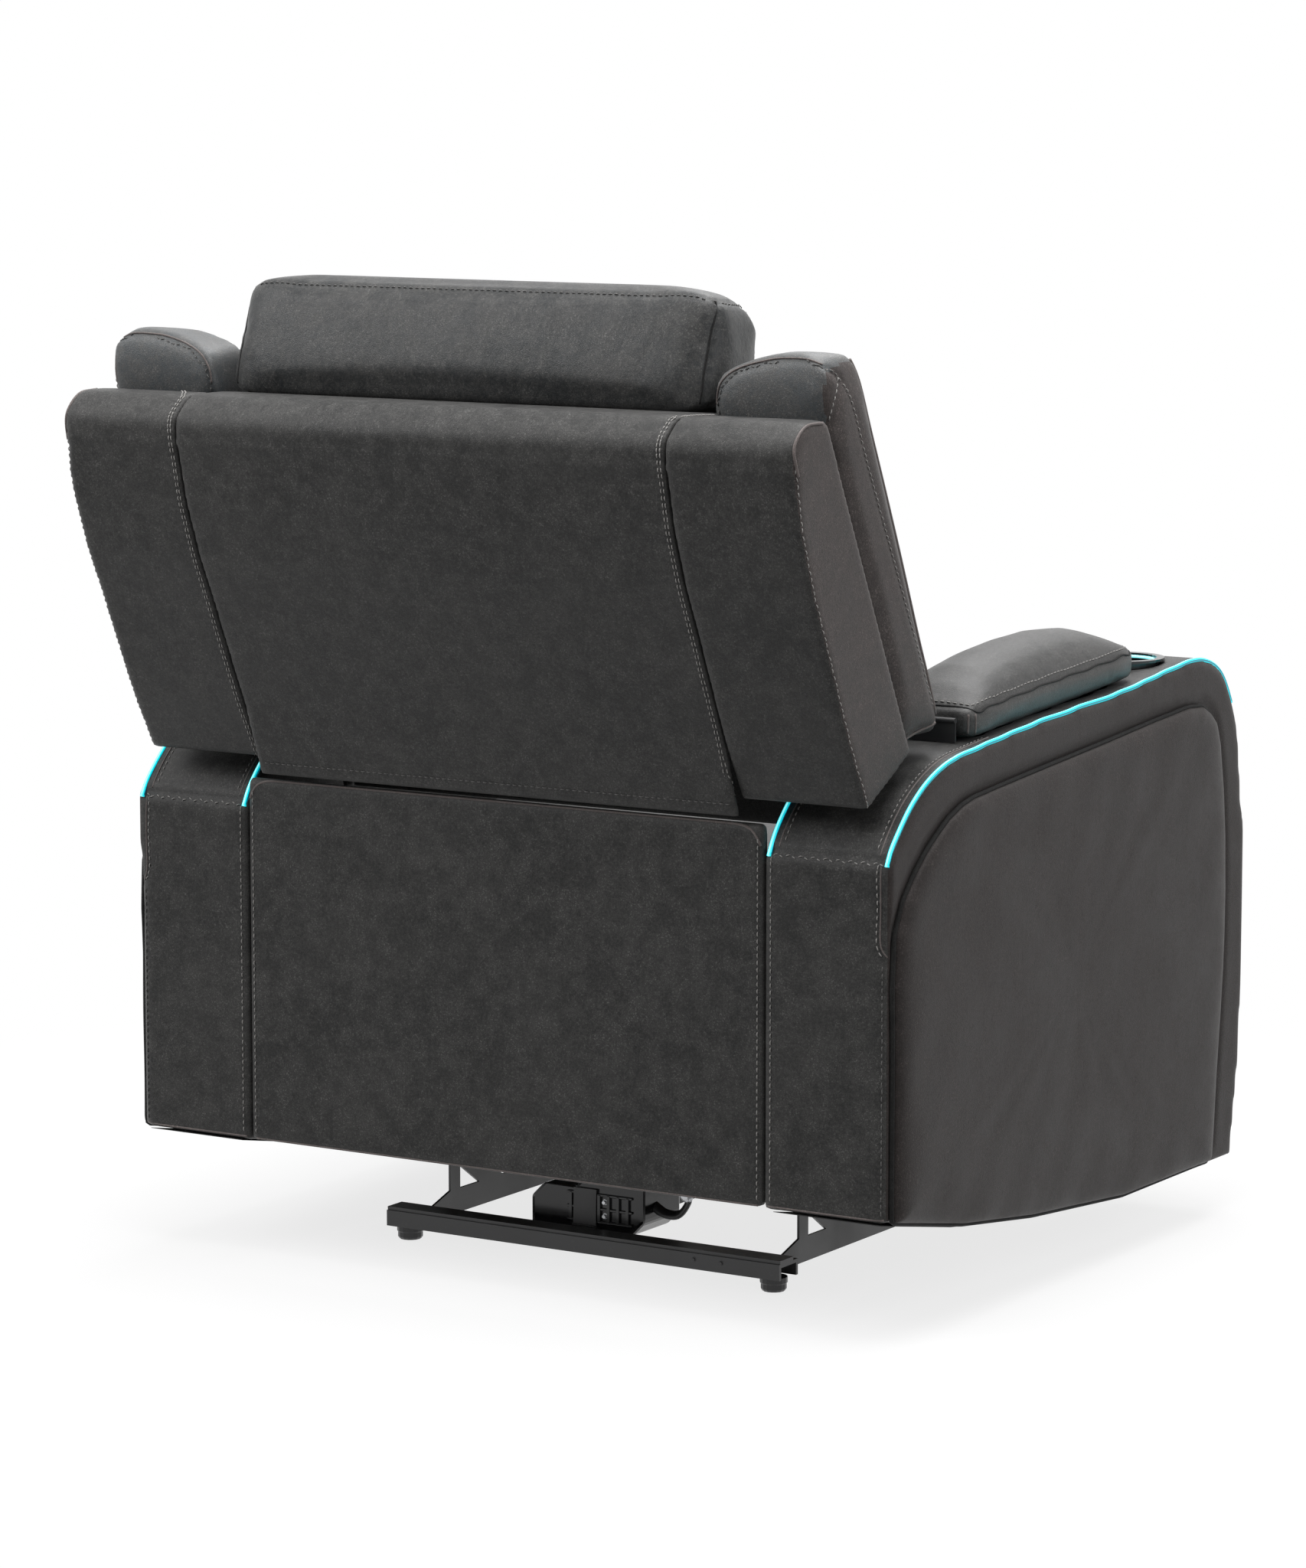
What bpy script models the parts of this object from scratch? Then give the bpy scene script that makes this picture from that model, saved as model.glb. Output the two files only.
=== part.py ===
"""Power recliner with lit console arms.

The chair faces -Y and stands on Z = 0. Its back leans at rest, turns on a pivot
between the arms, and hangs outside the base panel, so its lower edge swings clear
of the arms' round rear tops.
"""
import math

import bmesh
import bpy
from mathutils import Matrix, Vector

# General clearances
SEAT_GAP = 0.0003
PLATE_GAP = 0.0015
WELD = 0.00005
OVERRUN = 0.02

# Widths, from the middle outward
SHELL_HALF = 0.308
ARM_CLEAR = 0.025
ARM_WIDTH = 0.152
BACK_INSET = 0.025
ARM_INNER = SHELL_HALF + ARM_CLEAR
ARM_HALF = ARM_INNER + ARM_WIDTH
BACK_HALF = ARM_HALF - BACK_INSET

# Arms
ARM_REAR = 0.340
ARM_DEPTH = 0.837
ARM_TOP = 0.656
ARM_WALL = 0.012
ARM_EDGE = 0.007
ARM_ROUND = 0.2055
ARM_ROUND_END_DEG = 84.0
SIDE_PROUD = 0.0085
SIDE_EDGE = 0.004
LIGHT_RADIUS = 0.0032
LIGHT_INSET = 0.0055
COVER_DROP = 0.010
COVER_THICK = 0.003

# Back
PIVOT_Y = 0.164
PIVOT_Z = 0.407
LEAN_DEG = 21.0
RECLINE_DEG = 35.0
SHELL_WALL = 0.010
RIDGE_UP = 0.631
RIDGE_REAR = 0.1195
RIDGE_ROUND = 0.026
SHELF_UP = 0.6428
SHELF_REAR = 0.081
HEAD_SEAT_UP = 0.6245
HEAD_SEAT_REAR = 0.033
BOARD_TOP = 0.590
BOARD_FOOT = 0.105
BOARD_FRONT = 0.042
LIP_REAR = 0.121
LIP_UP = 0.1985
LIP_THICK = 0.0065
WING_FOOT_UP = 0.2166
WING_FOOT_REAR = 0.1094
SEAM_FOOT_UP = 0.2304
SEAM_FOOT_REAR = 0.006
SEAM_TOP_UP = 0.6284
SEAM_TOP_REAR = 0.0437
BACK_EDGE = 0.016
BOLSTER_FOOT = 0.2235
BOLSTER_FRONT = 0.092
BOLSTER_TOP_FRONT = 0.058
BOLSTER_TUCK_SHARE = 0.22
EAR_UP = 0.690
EAR_TOP = 1.055
EAR_INNER_DROP = 0.034
EAR_OUTER_DROP = 0.016
HEAD_FOOT_SET = 0.003
HEAD_FOOT_HALF = SHELL_HALF + HEAD_FOOT_SET
HEAD_TOP_SET = 0.006
HEAD_TOP_HALF = SHELL_HALF - HEAD_TOP_SET
HEAD_TOP_REAR = -0.047
HEAD_THICK = 0.100
HEAD_BROW = 0.026
CHAIR_TOP = 1.104
LUMBAR_TOP = 0.330
CUSHION_FRONT = 0.150
UPPER_FRONT = 0.125

# Rear panel of the base
PANEL_FOOT = 0.136
PANEL_TOP = 0.545
PANEL_THICK = 0.014

# Console
LID_INSET = 0.0145
LID_INNER = ARM_INNER + LID_INSET
LID_OUTER = ARM_HALF - LID_INSET
LID_REAR = 0.136
LID_GUSSET = 0.034
LID_CROWN = 0.046
HINGE_RISE = 0.024
HINGE_SET = 0.004
HINGE_RADIUS = 0.003
HINGE_LEAF = 0.002
BIN_DEPTH = 0.130
BIN_SIDE = 0.020
BIN_END = 0.035
CUP_SET = 0.172
CUP_Y = ARM_REAR - ARM_DEPTH + CUP_SET
CUP_RADIUS = 0.041
CUP_RIM = 0.006
CUP_DEPTH = 0.075
CUP_LIP = 0.003
CUP_GAP = 0.023
LID_LENGTH = LID_REAR - CUP_Y - CUP_RADIUS - CUP_LIP - CUP_RIM - CUP_GAP

# Seat
SEAT_FRONT = -0.468
SEAT_REAR = 0.128
SEAT_CLEAR = 0.008
SEAT_HALF = ARM_INNER - SEAT_CLEAR
SEAT_TOP = 0.508
SEAT_THICK = 0.139
FRAME_FOOT = 0.300
FRAME_TOP = 0.360
FRAME_RAIL = 0.050
FRAME_SLAT = 0.030

# Mechanism plates, from the middle outwards
PLATE = 0.003
LINK = 0.004
LINK_STEP = 0.006
MECH_SET = 0.005
SWING_SET = 0.0665
MECH_X = SHELL_HALF - MECH_SET
LINK_A_X = MECH_X - LINK_STEP
LINK_B_X = LINK_A_X - LINK_STEP
BOARD_X = LINK_B_X - LINK_STEP
SWING_X = MECH_X - SWING_SET
BASE_X = SWING_X - LINK_STEP
LINK_HALF = 0.013
PIN = 0.005
BACK_PLATE_X = SHELL_HALF + SEAT_GAP
BACK_PLATE = 0.005
CONTROL_X = BACK_PLATE_X

# Footrest linkage
LINK_LENGTH = 0.200
LINK_Y = -0.240
LINK_Z = 0.260
CLOSED_DEG = 63.3
OPEN_DEG = 8.0
OUTER_OPEN_DEG = 25.0
BOARD_OPEN_DEG = 90.0
TAIL = 0.050
REACH = 0.040
BOARD_ARM_DEG = 92.0
TORQUE_RADIUS = 0.009
TORQUE_SET = 0.050
PAD_FRONT = -0.500
PAD_THICK = 0.064
PAD_TOP = 0.385
PAD_FOOT = 0.100
PAD_HALF = SEAT_HALF
FOOTBOARD = 0.012

# Floor frame
RAIL_END = 0.029
RAIL_HALF = BASE_X + RAIL_END
RAIL_REAR = 0.180
RAIL_FRONT = -0.320
RAIL_DEPTH = 0.040
RAIL_FOOT = 0.016
RAIL_HEIGHT = 0.022
RAIL_WALL = 0.002
FOOT_SET = 0.0101
FOOT_X = BASE_X + FOOT_SET
FOOT_RADIUS = 0.0155
BAR_HEIGHT = 0.028
POST_WIDTH = 0.030
SWING_Y = 0.0775
SWING_FRONT_Y = -0.200
SWING_FOOT = 0.095
SWING_LENGTH = 0.155
SHIFT = 0.050
TUBE_RADIUS = 0.010
EYE_GAP = 0.0013

# Drive
MOTOR_X = 0.020
MOTOR_Y = 0.092
MOTOR_Z = 0.062
MOTOR_WIDTH = 0.150
MOTOR_DEPTH = 0.080
MOTOR_HEIGHT = 0.066
DRIVE_END = -0.300
DRIVE_WIDTH = 0.030
DRIVE_HEIGHT = 0.018
DRIVE_WALL = 0.003
BLOCK_LENGTH = 0.060
BLOCK_TRAVEL = 0.160

# Switch
SWITCH_Y = -0.300
SWITCH_Z = 0.560
SWITCH_LENGTH = 0.100
SWITCH_HEIGHT = 0.040
SWITCH_THICK = 0.004
BUTTON_RADIUS = 0.012
BUTTON_PROUD = 0.0035
BUTTON_TRAVEL = 0.002

# Outlines, as shares of the size that each follows.
# Arm: (share of ARM_DEPTH from the rear, share of ARM_TOP)
ARM_TOP_SHARES = ((0.40, 0.957), (0.61, 0.972), (0.70, 0.983), (0.80, 0.997),
                  (0.86, 1.0), (0.90, 0.990), (0.935, 0.965), (0.965, 0.910), (0.985, 0.84), (1.0, 0.66),
                  (1.0, 0.45), (0.995, 0.28))
ARM_FRONT_FOOT_SHARES = (0.972, 0.098)
ARM_BOTTOM_SHARES = ((0.88, 0.099), (0.64, 0.099), (0.38, 0.127), (0.19, 0.159))
# Rear of the back: (share of RIDGE_UP, share of RIDGE_REAR)
REAR_SHARES = ((0.457, 1.0), (0.54, 1.033), (0.667, 1.075), (0.751, 1.112), (0.855, 1.108), (0.92, 1.06))
# Raised side panel: (share of ARM_DEPTH from the rear, share of ARM_TOP)
SIDE_SHARES = ((0.010, 0.510), (0.012, 0.672), (0.060, 0.760), (0.120, 0.816), (0.180, 0.851),
               (0.270, 0.866), (0.580, 0.897), (0.830, 0.921), (0.905, 0.905), (0.942, 0.850),
               (0.966, 0.680), (0.968, 0.500), (0.959, 0.378), (0.930, 0.101))
SIDE_BOTTOM_SHARES = ((0.88, 0.102), (0.64, 0.102), (0.38, 0.130), (0.19, 0.162))


def clear_objects():
    """Remove what the file opens with."""
    for item in list(bpy.data.objects):
        bpy.data.objects.remove(item, do_unlink=True)


def collection(name):
    """Return a collection of that name, linked to the scene."""
    group = bpy.data.collections.new(name)
    bpy.context.scene.collection.children.link(group)
    return group


def material(name, colour, roughness, metallic=0.0):
    """Return a Principled material."""
    made = bpy.data.materials.get(name)
    if made is None:
        made = bpy.data.materials.new(name)
        made.use_nodes = True
        shader = made.node_tree.nodes["Principled BSDF"]
        shader.inputs["Base Color"].default_value = (*colour, 1.0)
        shader.inputs["Roughness"].default_value = roughness
        shader.inputs["Metallic"].default_value = metallic
    return made


def upholstery():
    return material("charcoal_leather", (0.045, 0.045, 0.046), 0.5)


def side_upholstery():
    return material("brown_grey_leather", (0.075, 0.070, 0.066), 0.5)


def black_steel():
    return material("black_steel", (0.012, 0.012, 0.013), 0.35, 0.6)


def black_plastic():
    return material("black_plastic", (0.010, 0.010, 0.011), 0.3)


def light_plastic():
    return material("light_plastic", (0.35, 0.85, 1.0), 0.3)


def wood():
    return material("frame_wood", (0.36, 0.25, 0.15), 0.65)


def black_fabric():
    return material("black_fabric", (0.008, 0.008, 0.008), 0.9)


def button_metal():
    return material("button_metal", (0.55, 0.56, 0.58), 0.3, 1.0)


def finish_object(item, paint):
    """Give the object its material and smooth shading with sharp edges."""
    item.data.materials.clear()
    item.data.materials.append(paint)
    item.data.shade_smooth()
    item.data.set_sharp_from_angle(angle=math.radians(40.0))
    return item


def link_object(name, mesh, group):
    """Make an object of a mesh and put it in the group."""
    item = bpy.data.objects.new(name, mesh)
    group.objects.link(item)
    return item


def curve_to_object(name, curve, placing, group):
    """Turn a curve into a welded mesh object at its world place."""
    guide = bpy.data.objects.new(name + "_curve", curve)
    group.objects.link(guide)
    guide.matrix_world = placing
    bpy.context.view_layer.update()
    graph = bpy.context.evaluated_depsgraph_get()
    mesh = bpy.data.meshes.new_from_object(guide.evaluated_get(graph))
    mesh.transform(placing)
    bpy.data.objects.remove(guide, do_unlink=True)
    work = bmesh.new()
    work.from_mesh(mesh)
    bmesh.ops.remove_doubles(work, verts=work.verts, dist=WELD)
    bmesh.ops.recalc_face_normals(work, faces=work.faces)
    work.to_mesh(mesh)
    work.free()
    return link_object(name, mesh, group)


def flat_outline(name, outline, low, high, axis, group):
    """Extrude an outline between two places along X, Y or Z.

    Along X the outline holds (Y, Z) points, along Y (X, Z), along Z (X, Y).
    """
    curve = bpy.data.curves.new(name, "CURVE")
    curve.dimensions = "2D"
    curve.fill_mode = "BOTH"
    curve.extrude = (high - low) / 2
    spline = curve.splines.new("POLY")
    spline.points.add(len(outline) - 1)
    for point, (first, second) in zip(spline.points, outline):
        point.co = (first, second, 0.0, 1.0)
    spline.use_cyclic_u = True
    middle = (low + high) / 2
    if axis == "X":
        placing = Matrix(((0, 0, 1, middle), (1, 0, 0, 0), (0, 1, 0, 0), (0, 0, 0, 1)))
    elif axis == "Y":
        placing = Matrix(((1, 0, 0, 0), (0, 0, -1, middle), (0, 1, 0, 0), (0, 0, 0, 1)))
    else:
        placing = Matrix.Translation((0, 0, middle))
    return curve_to_object(name, curve, placing, group)


def box(name, low, high, group):
    """Make a box between two corners, from a primitive cube."""
    bpy.ops.mesh.primitive_cube_add(size=1.0)
    item = bpy.context.active_object
    item.name = name
    item.data.name = name
    for owner in list(item.users_collection):
        owner.objects.unlink(item)
    group.objects.link(item)
    size = [high[i] - low[i] for i in range(3)]
    centre = [(high[i] + low[i]) / 2 for i in range(3)]
    item.data.transform(Matrix.Translation(centre) @ Matrix.Diagonal((*size, 1.0)))
    return item


def cylinder(name, centre, radius, length, axis, group, sides=24):
    """Make a closed cylinder about a point, along X, Y or Z."""
    work = bmesh.new()
    bmesh.ops.create_cone(work, cap_ends=True, segments=sides, radius1=radius, radius2=radius,
                          depth=length)
    mesh = bpy.data.meshes.new(name)
    work.to_mesh(mesh)
    work.free()
    turn = Matrix.Identity(4)
    if axis == "X":
        turn = Matrix.Rotation(math.pi / 2, 4, "Y")
    elif axis == "Y":
        turn = Matrix.Rotation(math.pi / 2, 4, "X")
    mesh.transform(Matrix.Translation(centre) @ turn)
    return link_object(name, mesh, group)


def rod(name, points, radius, group, resolution=2):
    """Make a round bar along points, with filled caps."""
    curve = bpy.data.curves.new(name, "CURVE")
    curve.dimensions = "3D"
    curve.bevel_depth = radius
    curve.bevel_resolution = resolution
    curve.use_fill_caps = True
    spline = curve.splines.new("POLY")
    spline.points.add(len(points) - 1)
    for point, place in zip(spline.points, points):
        point.co = (*place, 1.0)
    return curve_to_object(name, curve, Matrix.Identity(4), group)


def bevel(item, width, segments=2, angle=50.0):
    """Round the sharp edges of an object."""
    step = item.modifiers.new("edges", "BEVEL")
    step.width = width
    step.segments = segments
    step.limit_method = "ANGLE"
    step.angle_limit = math.radians(angle)
    step.use_clamp_overlap = True
    return item


def cut(item, cutter, cutters):
    """Take the cutter's shape out of the item."""
    for owner in list(cutter.users_collection):
        owner.objects.unlink(cutter)
    cutters.objects.link(cutter)
    cutter.hide_render = True
    cutter.display_type = "WIRE"
    step = item.modifiers.new("cut", "BOOLEAN")
    step.operation = "DIFFERENCE"
    step.solver = "EXACT"
    step.object = cutter
    return item


def join(item, other, cutters):
    """Make the other shape one body with the item."""
    for owner in list(other.users_collection):
        owner.objects.unlink(other)
    cutters.objects.link(other)
    other.hide_render = True
    other.display_type = "WIRE"
    step = item.modifiers.new("join", "BOOLEAN")
    step.operation = "UNION"
    step.solver = "EXACT"
    step.object = other
    return item


def hang(item, empty):
    """Parent an item to the empty on its joint's axis, where it is."""
    item.data.transform(Matrix.Translation(-empty.location))
    item.parent = empty
    return item


def joint_empty(name, place, group):
    """Make an empty on a joint's axis."""
    empty = bpy.data.objects.new(name, None)
    empty.location = place
    empty.hide_render = True
    group.objects.link(empty)
    return empty


def arc(centre, radius, start_deg, end_deg, steps):
    """Return points on an arc about a centre in the Y-Z plane."""
    points = []
    for step in range(steps + 1):
        angle = math.radians(start_deg + (end_deg - start_deg) * step / steps)
        points.append((centre[0] + radius * math.cos(angle), centre[1] + radius * math.sin(angle)))
    return points


def eased(points, steps):
    """Return a smooth run through the points."""
    run = []
    last = len(points) - 1
    for index in range(last):
        before = points[max(index - 1, 0)]
        start = points[index]
        end = points[index + 1]
        after = points[min(index + 2, last)]
        for step in range(steps):
            t = step / steps
            place = []
            for axis in range(len(start)):
                slope_in = (end[axis] - before[axis]) / 2
                slope_out = (after[axis] - start[axis]) / 2
                gap = end[axis] - start[axis]
                place.append(start[axis] + slope_in * t + (3 * gap - 2 * slope_in - slope_out) * t * t
                             + (slope_in + slope_out - 2 * gap) * t * t * t)
            run.append(tuple(place))
    run.append(points[last])
    return run


def inset(outline, distance):
    """Move each point of a closed outline inward by the distance."""
    area = 0.0
    count = len(outline)
    for index in range(count):
        first = outline[index]
        second = outline[(index + 1) % count]
        area += first[0] * second[1] - second[0] * first[1]
    side = 1.0 if area > 0 else -1.0
    moved = []
    for index in range(count):
        before = Vector(outline[index - 1])
        here = Vector(outline[index])
        after = Vector(outline[(index + 1) % count])
        into = (here - before).normalized()
        away = (after - here).normalized()
        normal_in = Vector((-into[1], into[0])) * side
        normal_out = Vector((-away[1], away[0])) * side
        middle = (normal_in + normal_out).normalized()
        stretch = max(middle.dot(normal_in), 0.5)
        moved.append(tuple(here + middle * (distance / stretch)))
    return moved


def rounded(outline, radius, steps=4):
    """Round every corner of a closed outline by up to the radius."""
    run = []
    count = len(outline)
    for index in range(count):
        before = Vector(outline[index - 1])
        here = Vector(outline[index])
        after = Vector(outline[(index + 1) % count])
        to_before = before - here
        to_after = after - here
        turn = to_before.angle(to_after)
        reach = radius / math.tan(turn / 2)
        reach = min(reach, to_before.length * 0.45, to_after.length * 0.45)
        start = here + to_before.normalized() * reach
        end = here + to_after.normalized() * reach
        for step in range(steps + 1):
            t = step / steps
            point = start * (1 - t) * (1 - t) + here * 2 * t * (1 - t) + end * t * t
            run.append(tuple(point))
    return run


def stadium(start, end, half, steps=5):
    """Return a flat bar's outline with round ends, in the Y-Z plane."""
    along = math.degrees(math.atan2(end[1] - start[1], end[0] - start[0]))
    return (arc(end, half, along - 90, along + 90, steps)
            + arc(start, half, along + 90, along + 270, steps))


def back_point(up, forward):
    """Turn a place on the leaning back into world Y and Z."""
    lean = math.radians(LEAN_DEG)
    return (PIVOT_Y + up * math.sin(lean) - forward * math.cos(lean),
            PIVOT_Z + up * math.cos(lean) + forward * math.sin(lean))


def back_local(y, z):
    """Turn world Y and Z into a place on the leaning back."""
    lean = math.radians(LEAN_DEG)
    return ((y - PIVOT_Y) * math.sin(lean) + (z - PIVOT_Z) * math.cos(lean),
            (z - PIVOT_Z) * math.sin(lean) - (y - PIVOT_Y) * math.cos(lean))


def soft_form(name, place, group, cuts=3, levels=1, pinch=0.7):
    """Make a cushion: a cube cage whose points the place function puts in the world.

    The function gets each cage point as three numbers from -1 to 1.
    """
    work = bmesh.new()
    bmesh.ops.create_cube(work, size=2.0)
    bmesh.ops.subdivide_edges(work, edges=work.edges[:], cuts=cuts, use_grid_fill=True)
    for vert in work.verts:
        shares = [math.copysign(abs(value) ** pinch, value) for value in vert.co]
        vert.co = place(*shares)
    work.normal_update()
    bmesh.ops.recalc_face_normals(work, faces=work.faces)
    mesh = bpy.data.meshes.new(name)
    work.to_mesh(mesh)
    work.free()
    item = link_object(name, mesh, group)
    step = item.modifiers.new("soft", "SUBSURF")
    step.levels = levels
    step.render_levels = levels
    return item


def mirrored_low_high(side, near, far):
    """Return a low and a high X for the side, 1 left or -1 right."""
    return (near, far) if side > 0 else (-far, -near)


def side_name(side):
    return "left" if side > 0 else "right"


def arm_run():
    """Return the arm's outline from the rear face over the top to the front foot."""
    start_deg = math.degrees(math.acos((ARM_REAR - PIVOT_Y) / ARM_ROUND))
    rear = arc((PIVOT_Y, PIVOT_Z), ARM_ROUND, start_deg, ARM_ROUND_END_DEG, 10)
    top = [rear[-1]]
    for depth_share, top_share in ARM_TOP_SHARES:
        top.append((ARM_REAR - depth_share * ARM_DEPTH, top_share * ARM_TOP))
    return rear[:-1] + eased(top, 2)


def arm_foot_points():
    """Return the arm's lower points, from the front to the rear."""
    points = []
    for depth_share, top_share in (ARM_FRONT_FOOT_SHARES,) + ARM_BOTTOM_SHARES:
        points.append((ARM_REAR - depth_share * ARM_DEPTH, top_share * ARM_TOP))
    points.append((ARM_REAR, PANEL_FOOT))
    return points


def arm_top_height(y):
    """Return the height of the arm's top surface at a depth."""
    run = arm_run()
    for first, second in zip(run, run[1:]):
        if second[0] <= y <= first[0] and first[0] > second[0]:
            share = (first[0] - y) / (first[0] - second[0])
            return first[1] + share * (second[1] - first[1])
    return run[0][1]


def lid_front():
    return LID_REAR - LID_LENGTH


def bin_floor():
    """Return the height of the storage bin's floor."""
    return arm_top_height(LID_REAR) - BIN_DEPTH


def make_arm(side, group, cutters):
    """Arm: an upholstered shell, open below, with a storage bin and a cup hole."""
    name = "arm_" + side_name(side)
    low, high = mirrored_low_high(side, ARM_INNER, ARM_HALF)
    run = arm_run()
    outline = run + arm_foot_points()
    item = flat_outline(name, outline, low, high, "X", group)
    bevel(item, ARM_EDGE, 2, 60.0)
    inner = inset(outline, ARM_WALL)[:len(run)]
    ceiling = bin_floor() - ARM_WALL
    hollow = [(inner[0][0], 0.0)]
    hollow += [(y, min(z, ceiling)) for y, z in inner]
    hollow.append((inner[-1][0] + ARM_WALL, 0.0))
    kept = []
    for point in hollow:
        if not kept or (Vector(point) - Vector(kept[-1])).length > ARM_WALL / 4:
            kept.append(point)
    low, high = mirrored_low_high(side, ARM_INNER + ARM_WALL, ARM_HALF - ARM_WALL)
    cut(item, flat_outline(name + "_hollow", kept, low, high, "X", group), cutters)
    low, high = mirrored_low_high(side, LID_INNER + BIN_SIDE, LID_OUTER - BIN_SIDE)
    hole = box(name + "_bin", (low, lid_front() + BIN_END, bin_floor()),
               (high, LID_REAR - BIN_END, ARM_TOP + OVERRUN), group)
    cut(item, hole, cutters)
    middle = side * (LID_INNER + LID_OUTER) / 2
    wall = CUP_RADIUS + CUP_LIP + SEAT_GAP
    depth = CUP_DEPTH + CUP_LIP + SEAT_GAP + OVERRUN
    cup = cylinder(name + "_cup", (middle, CUP_Y, ARM_TOP + OVERRUN - depth / 2), wall, depth,
                   "Z", group, 32)
    cut(item, cup, cutters)
    return finish_object(item, upholstery())


def make_side_panel(side, group):
    """Raised upholstered panel on the arm's outer face."""
    outline = []
    for depth_share, top_share in SIDE_SHARES + SIDE_BOTTOM_SHARES:
        outline.append((ARM_REAR - depth_share * ARM_DEPTH, top_share * ARM_TOP))
    upper = eased(outline[:len(SIDE_SHARES)], 2)
    lower = outline[len(SIDE_SHARES):]
    rear_foot = (upper[0][0], lower[-1][1] + (PANEL_FOOT - lower[-1][1]))
    low, high = mirrored_low_high(side, ARM_HALF + SEAT_GAP, ARM_HALF + SIDE_PROUD)
    item = flat_outline("side_panel_" + side_name(side), upper + lower + [rear_foot], low, high,
                        "X", group)
    bevel(item, SIDE_EDGE, 2, 60.0)
    return finish_object(item, side_upholstery())


def make_light(side, inner, group):
    """Lit strip lying along the edge of the arm's top."""
    run = arm_run()
    lifted = inset(run + arm_foot_points(), -(LIGHT_RADIUS + SEAT_GAP))[:len(run)]
    ends = [point for point in lifted if point[1] > SIDE_SHARES[8][1] * ARM_TOP or point[0] > PIVOT_Y]
    x = side * (ARM_INNER + LIGHT_INSET if inner else ARM_HALF - LIGHT_INSET)
    kind = "inner" if inner else "outer"
    item = rod("light_" + kind + "_" + side_name(side), [(x, y, z) for y, z in ends],
               LIGHT_RADIUS, group, 1)
    return finish_object(item, light_plastic())


def make_dust_cover(side, group):
    """Black cloth panel stapled under the arm."""
    points = arm_foot_points()
    upper = [(y, z - SEAT_GAP) for y, z in points]
    lower = [(y, z - SEAT_GAP - COVER_THICK) for y, z in reversed(points)]
    low, high = mirrored_low_high(side, ARM_INNER + COVER_DROP, ARM_HALF - COVER_DROP)
    item = flat_outline("dust_cover_" + side_name(side), upper + lower, low, high, "X", group)
    return finish_object(item, black_fabric())


def make_cup_holder(side, group):
    """Turned cup with a flat rim, set into the arm."""
    name = "cup_holder_" + side_name(side)
    rim = CUP_RADIUS + CUP_LIP + CUP_RIM
    top = ARM_TOP + SEAT_GAP + CUP_LIP
    outer = CUP_RADIUS + CUP_LIP
    floor = ARM_TOP - CUP_DEPTH
    profile = ((0.0, floor), (CUP_RADIUS, floor), (CUP_RADIUS, top), (rim, top),
               (rim, top - CUP_LIP), (outer, top - CUP_LIP), (outer, floor - CUP_LIP),
               (0.0, floor - CUP_LIP))
    mesh = bpy.data.meshes.new(name)
    verts = [(radius, 0.0, height) for radius, height in profile]
    mesh.from_pydata(verts, [(i, i + 1) for i in range(len(verts) - 1)], [])
    item = link_object(name, mesh, group)
    item.location = (side * (LID_INNER + LID_OUTER) / 2, CUP_Y, 0.0)
    turn = item.modifiers.new("turn", "SCREW")
    turn.steps = 32
    turn.render_steps = 32
    turn.use_merge_vertices = True
    turn.merge_threshold = WELD
    turn.use_smooth_shade = True
    item.data.materials.append(black_plastic())
    return item


def make_lid(side, group, empty):
    """Console lid: a crowned leather pad with a straight gusset."""
    middle = (LID_INNER + LID_OUTER) / 2
    half = (LID_OUTER - LID_INNER) / 2

    def place(across, along, up):
        y = LID_REAR - LID_LENGTH / 2 + along * LID_LENGTH / 2
        foot = arm_top_height(y) + PLATE_GAP
        swell = (1 - across * across) * (1 - along ** 4)
        rise = foot + (up + 1) / 2 * (LID_GUSSET + LID_CROWN * math.sqrt(swell))
        return (side * middle + across * half, y, rise)

    item = soft_form("console_lid_" + side_name(side), place, group, 3, 1, 0.55)
    hang(item, empty)
    return finish_object(item, upholstery())


def hinge_axis():
    """Return the Y and Z of the lid's hinge."""
    return (LID_REAR + HINGE_SET, arm_top_height(LID_REAR) + HINGE_RISE)


def make_lid_hinge(side, group, cutters):
    """Hinge leaf behind the lid, with its knuckle on the lid's axis."""
    name = "lid_hinge_" + side_name(side)
    y, z = hinge_axis()
    low, high = mirrored_low_high(side, LID_INNER + BIN_SIDE, LID_OUTER - BIN_SIDE)
    leaf = box(name, (low, y - HINGE_LEAF / 2, arm_top_height(y) + HINGE_LEAF / 2),
               (high, y + HINGE_LEAF / 2, z), group)
    knuckle = cylinder(name + "_knuckle", ((low + high) / 2, y, z), HINGE_RADIUS, high - low,
                       "X", group, 16)
    join(leaf, knuckle, cutters)
    return finish_object(leaf, black_steel())


def rear_line(wall=0.0):
    """Return the swelling rear of the back between its foot and its ridge."""
    return [(up_share * RIDGE_UP, wall - rear_share * RIDGE_REAR) for up_share, rear_share in REAR_SHARES]


def ridge_outline(points):
    """Return the back's outline in the world, its ridge and shelf corners rounded."""
    count = len(REAR_SHARES)
    world = [back_point(up, forward) for up, forward in points]
    steps = 5
    turned = rounded(world[count:], RIDGE_ROUND, steps - 1)
    return world[:count + 1] + turned[steps:3 * steps] + world[count + 3:]


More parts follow.
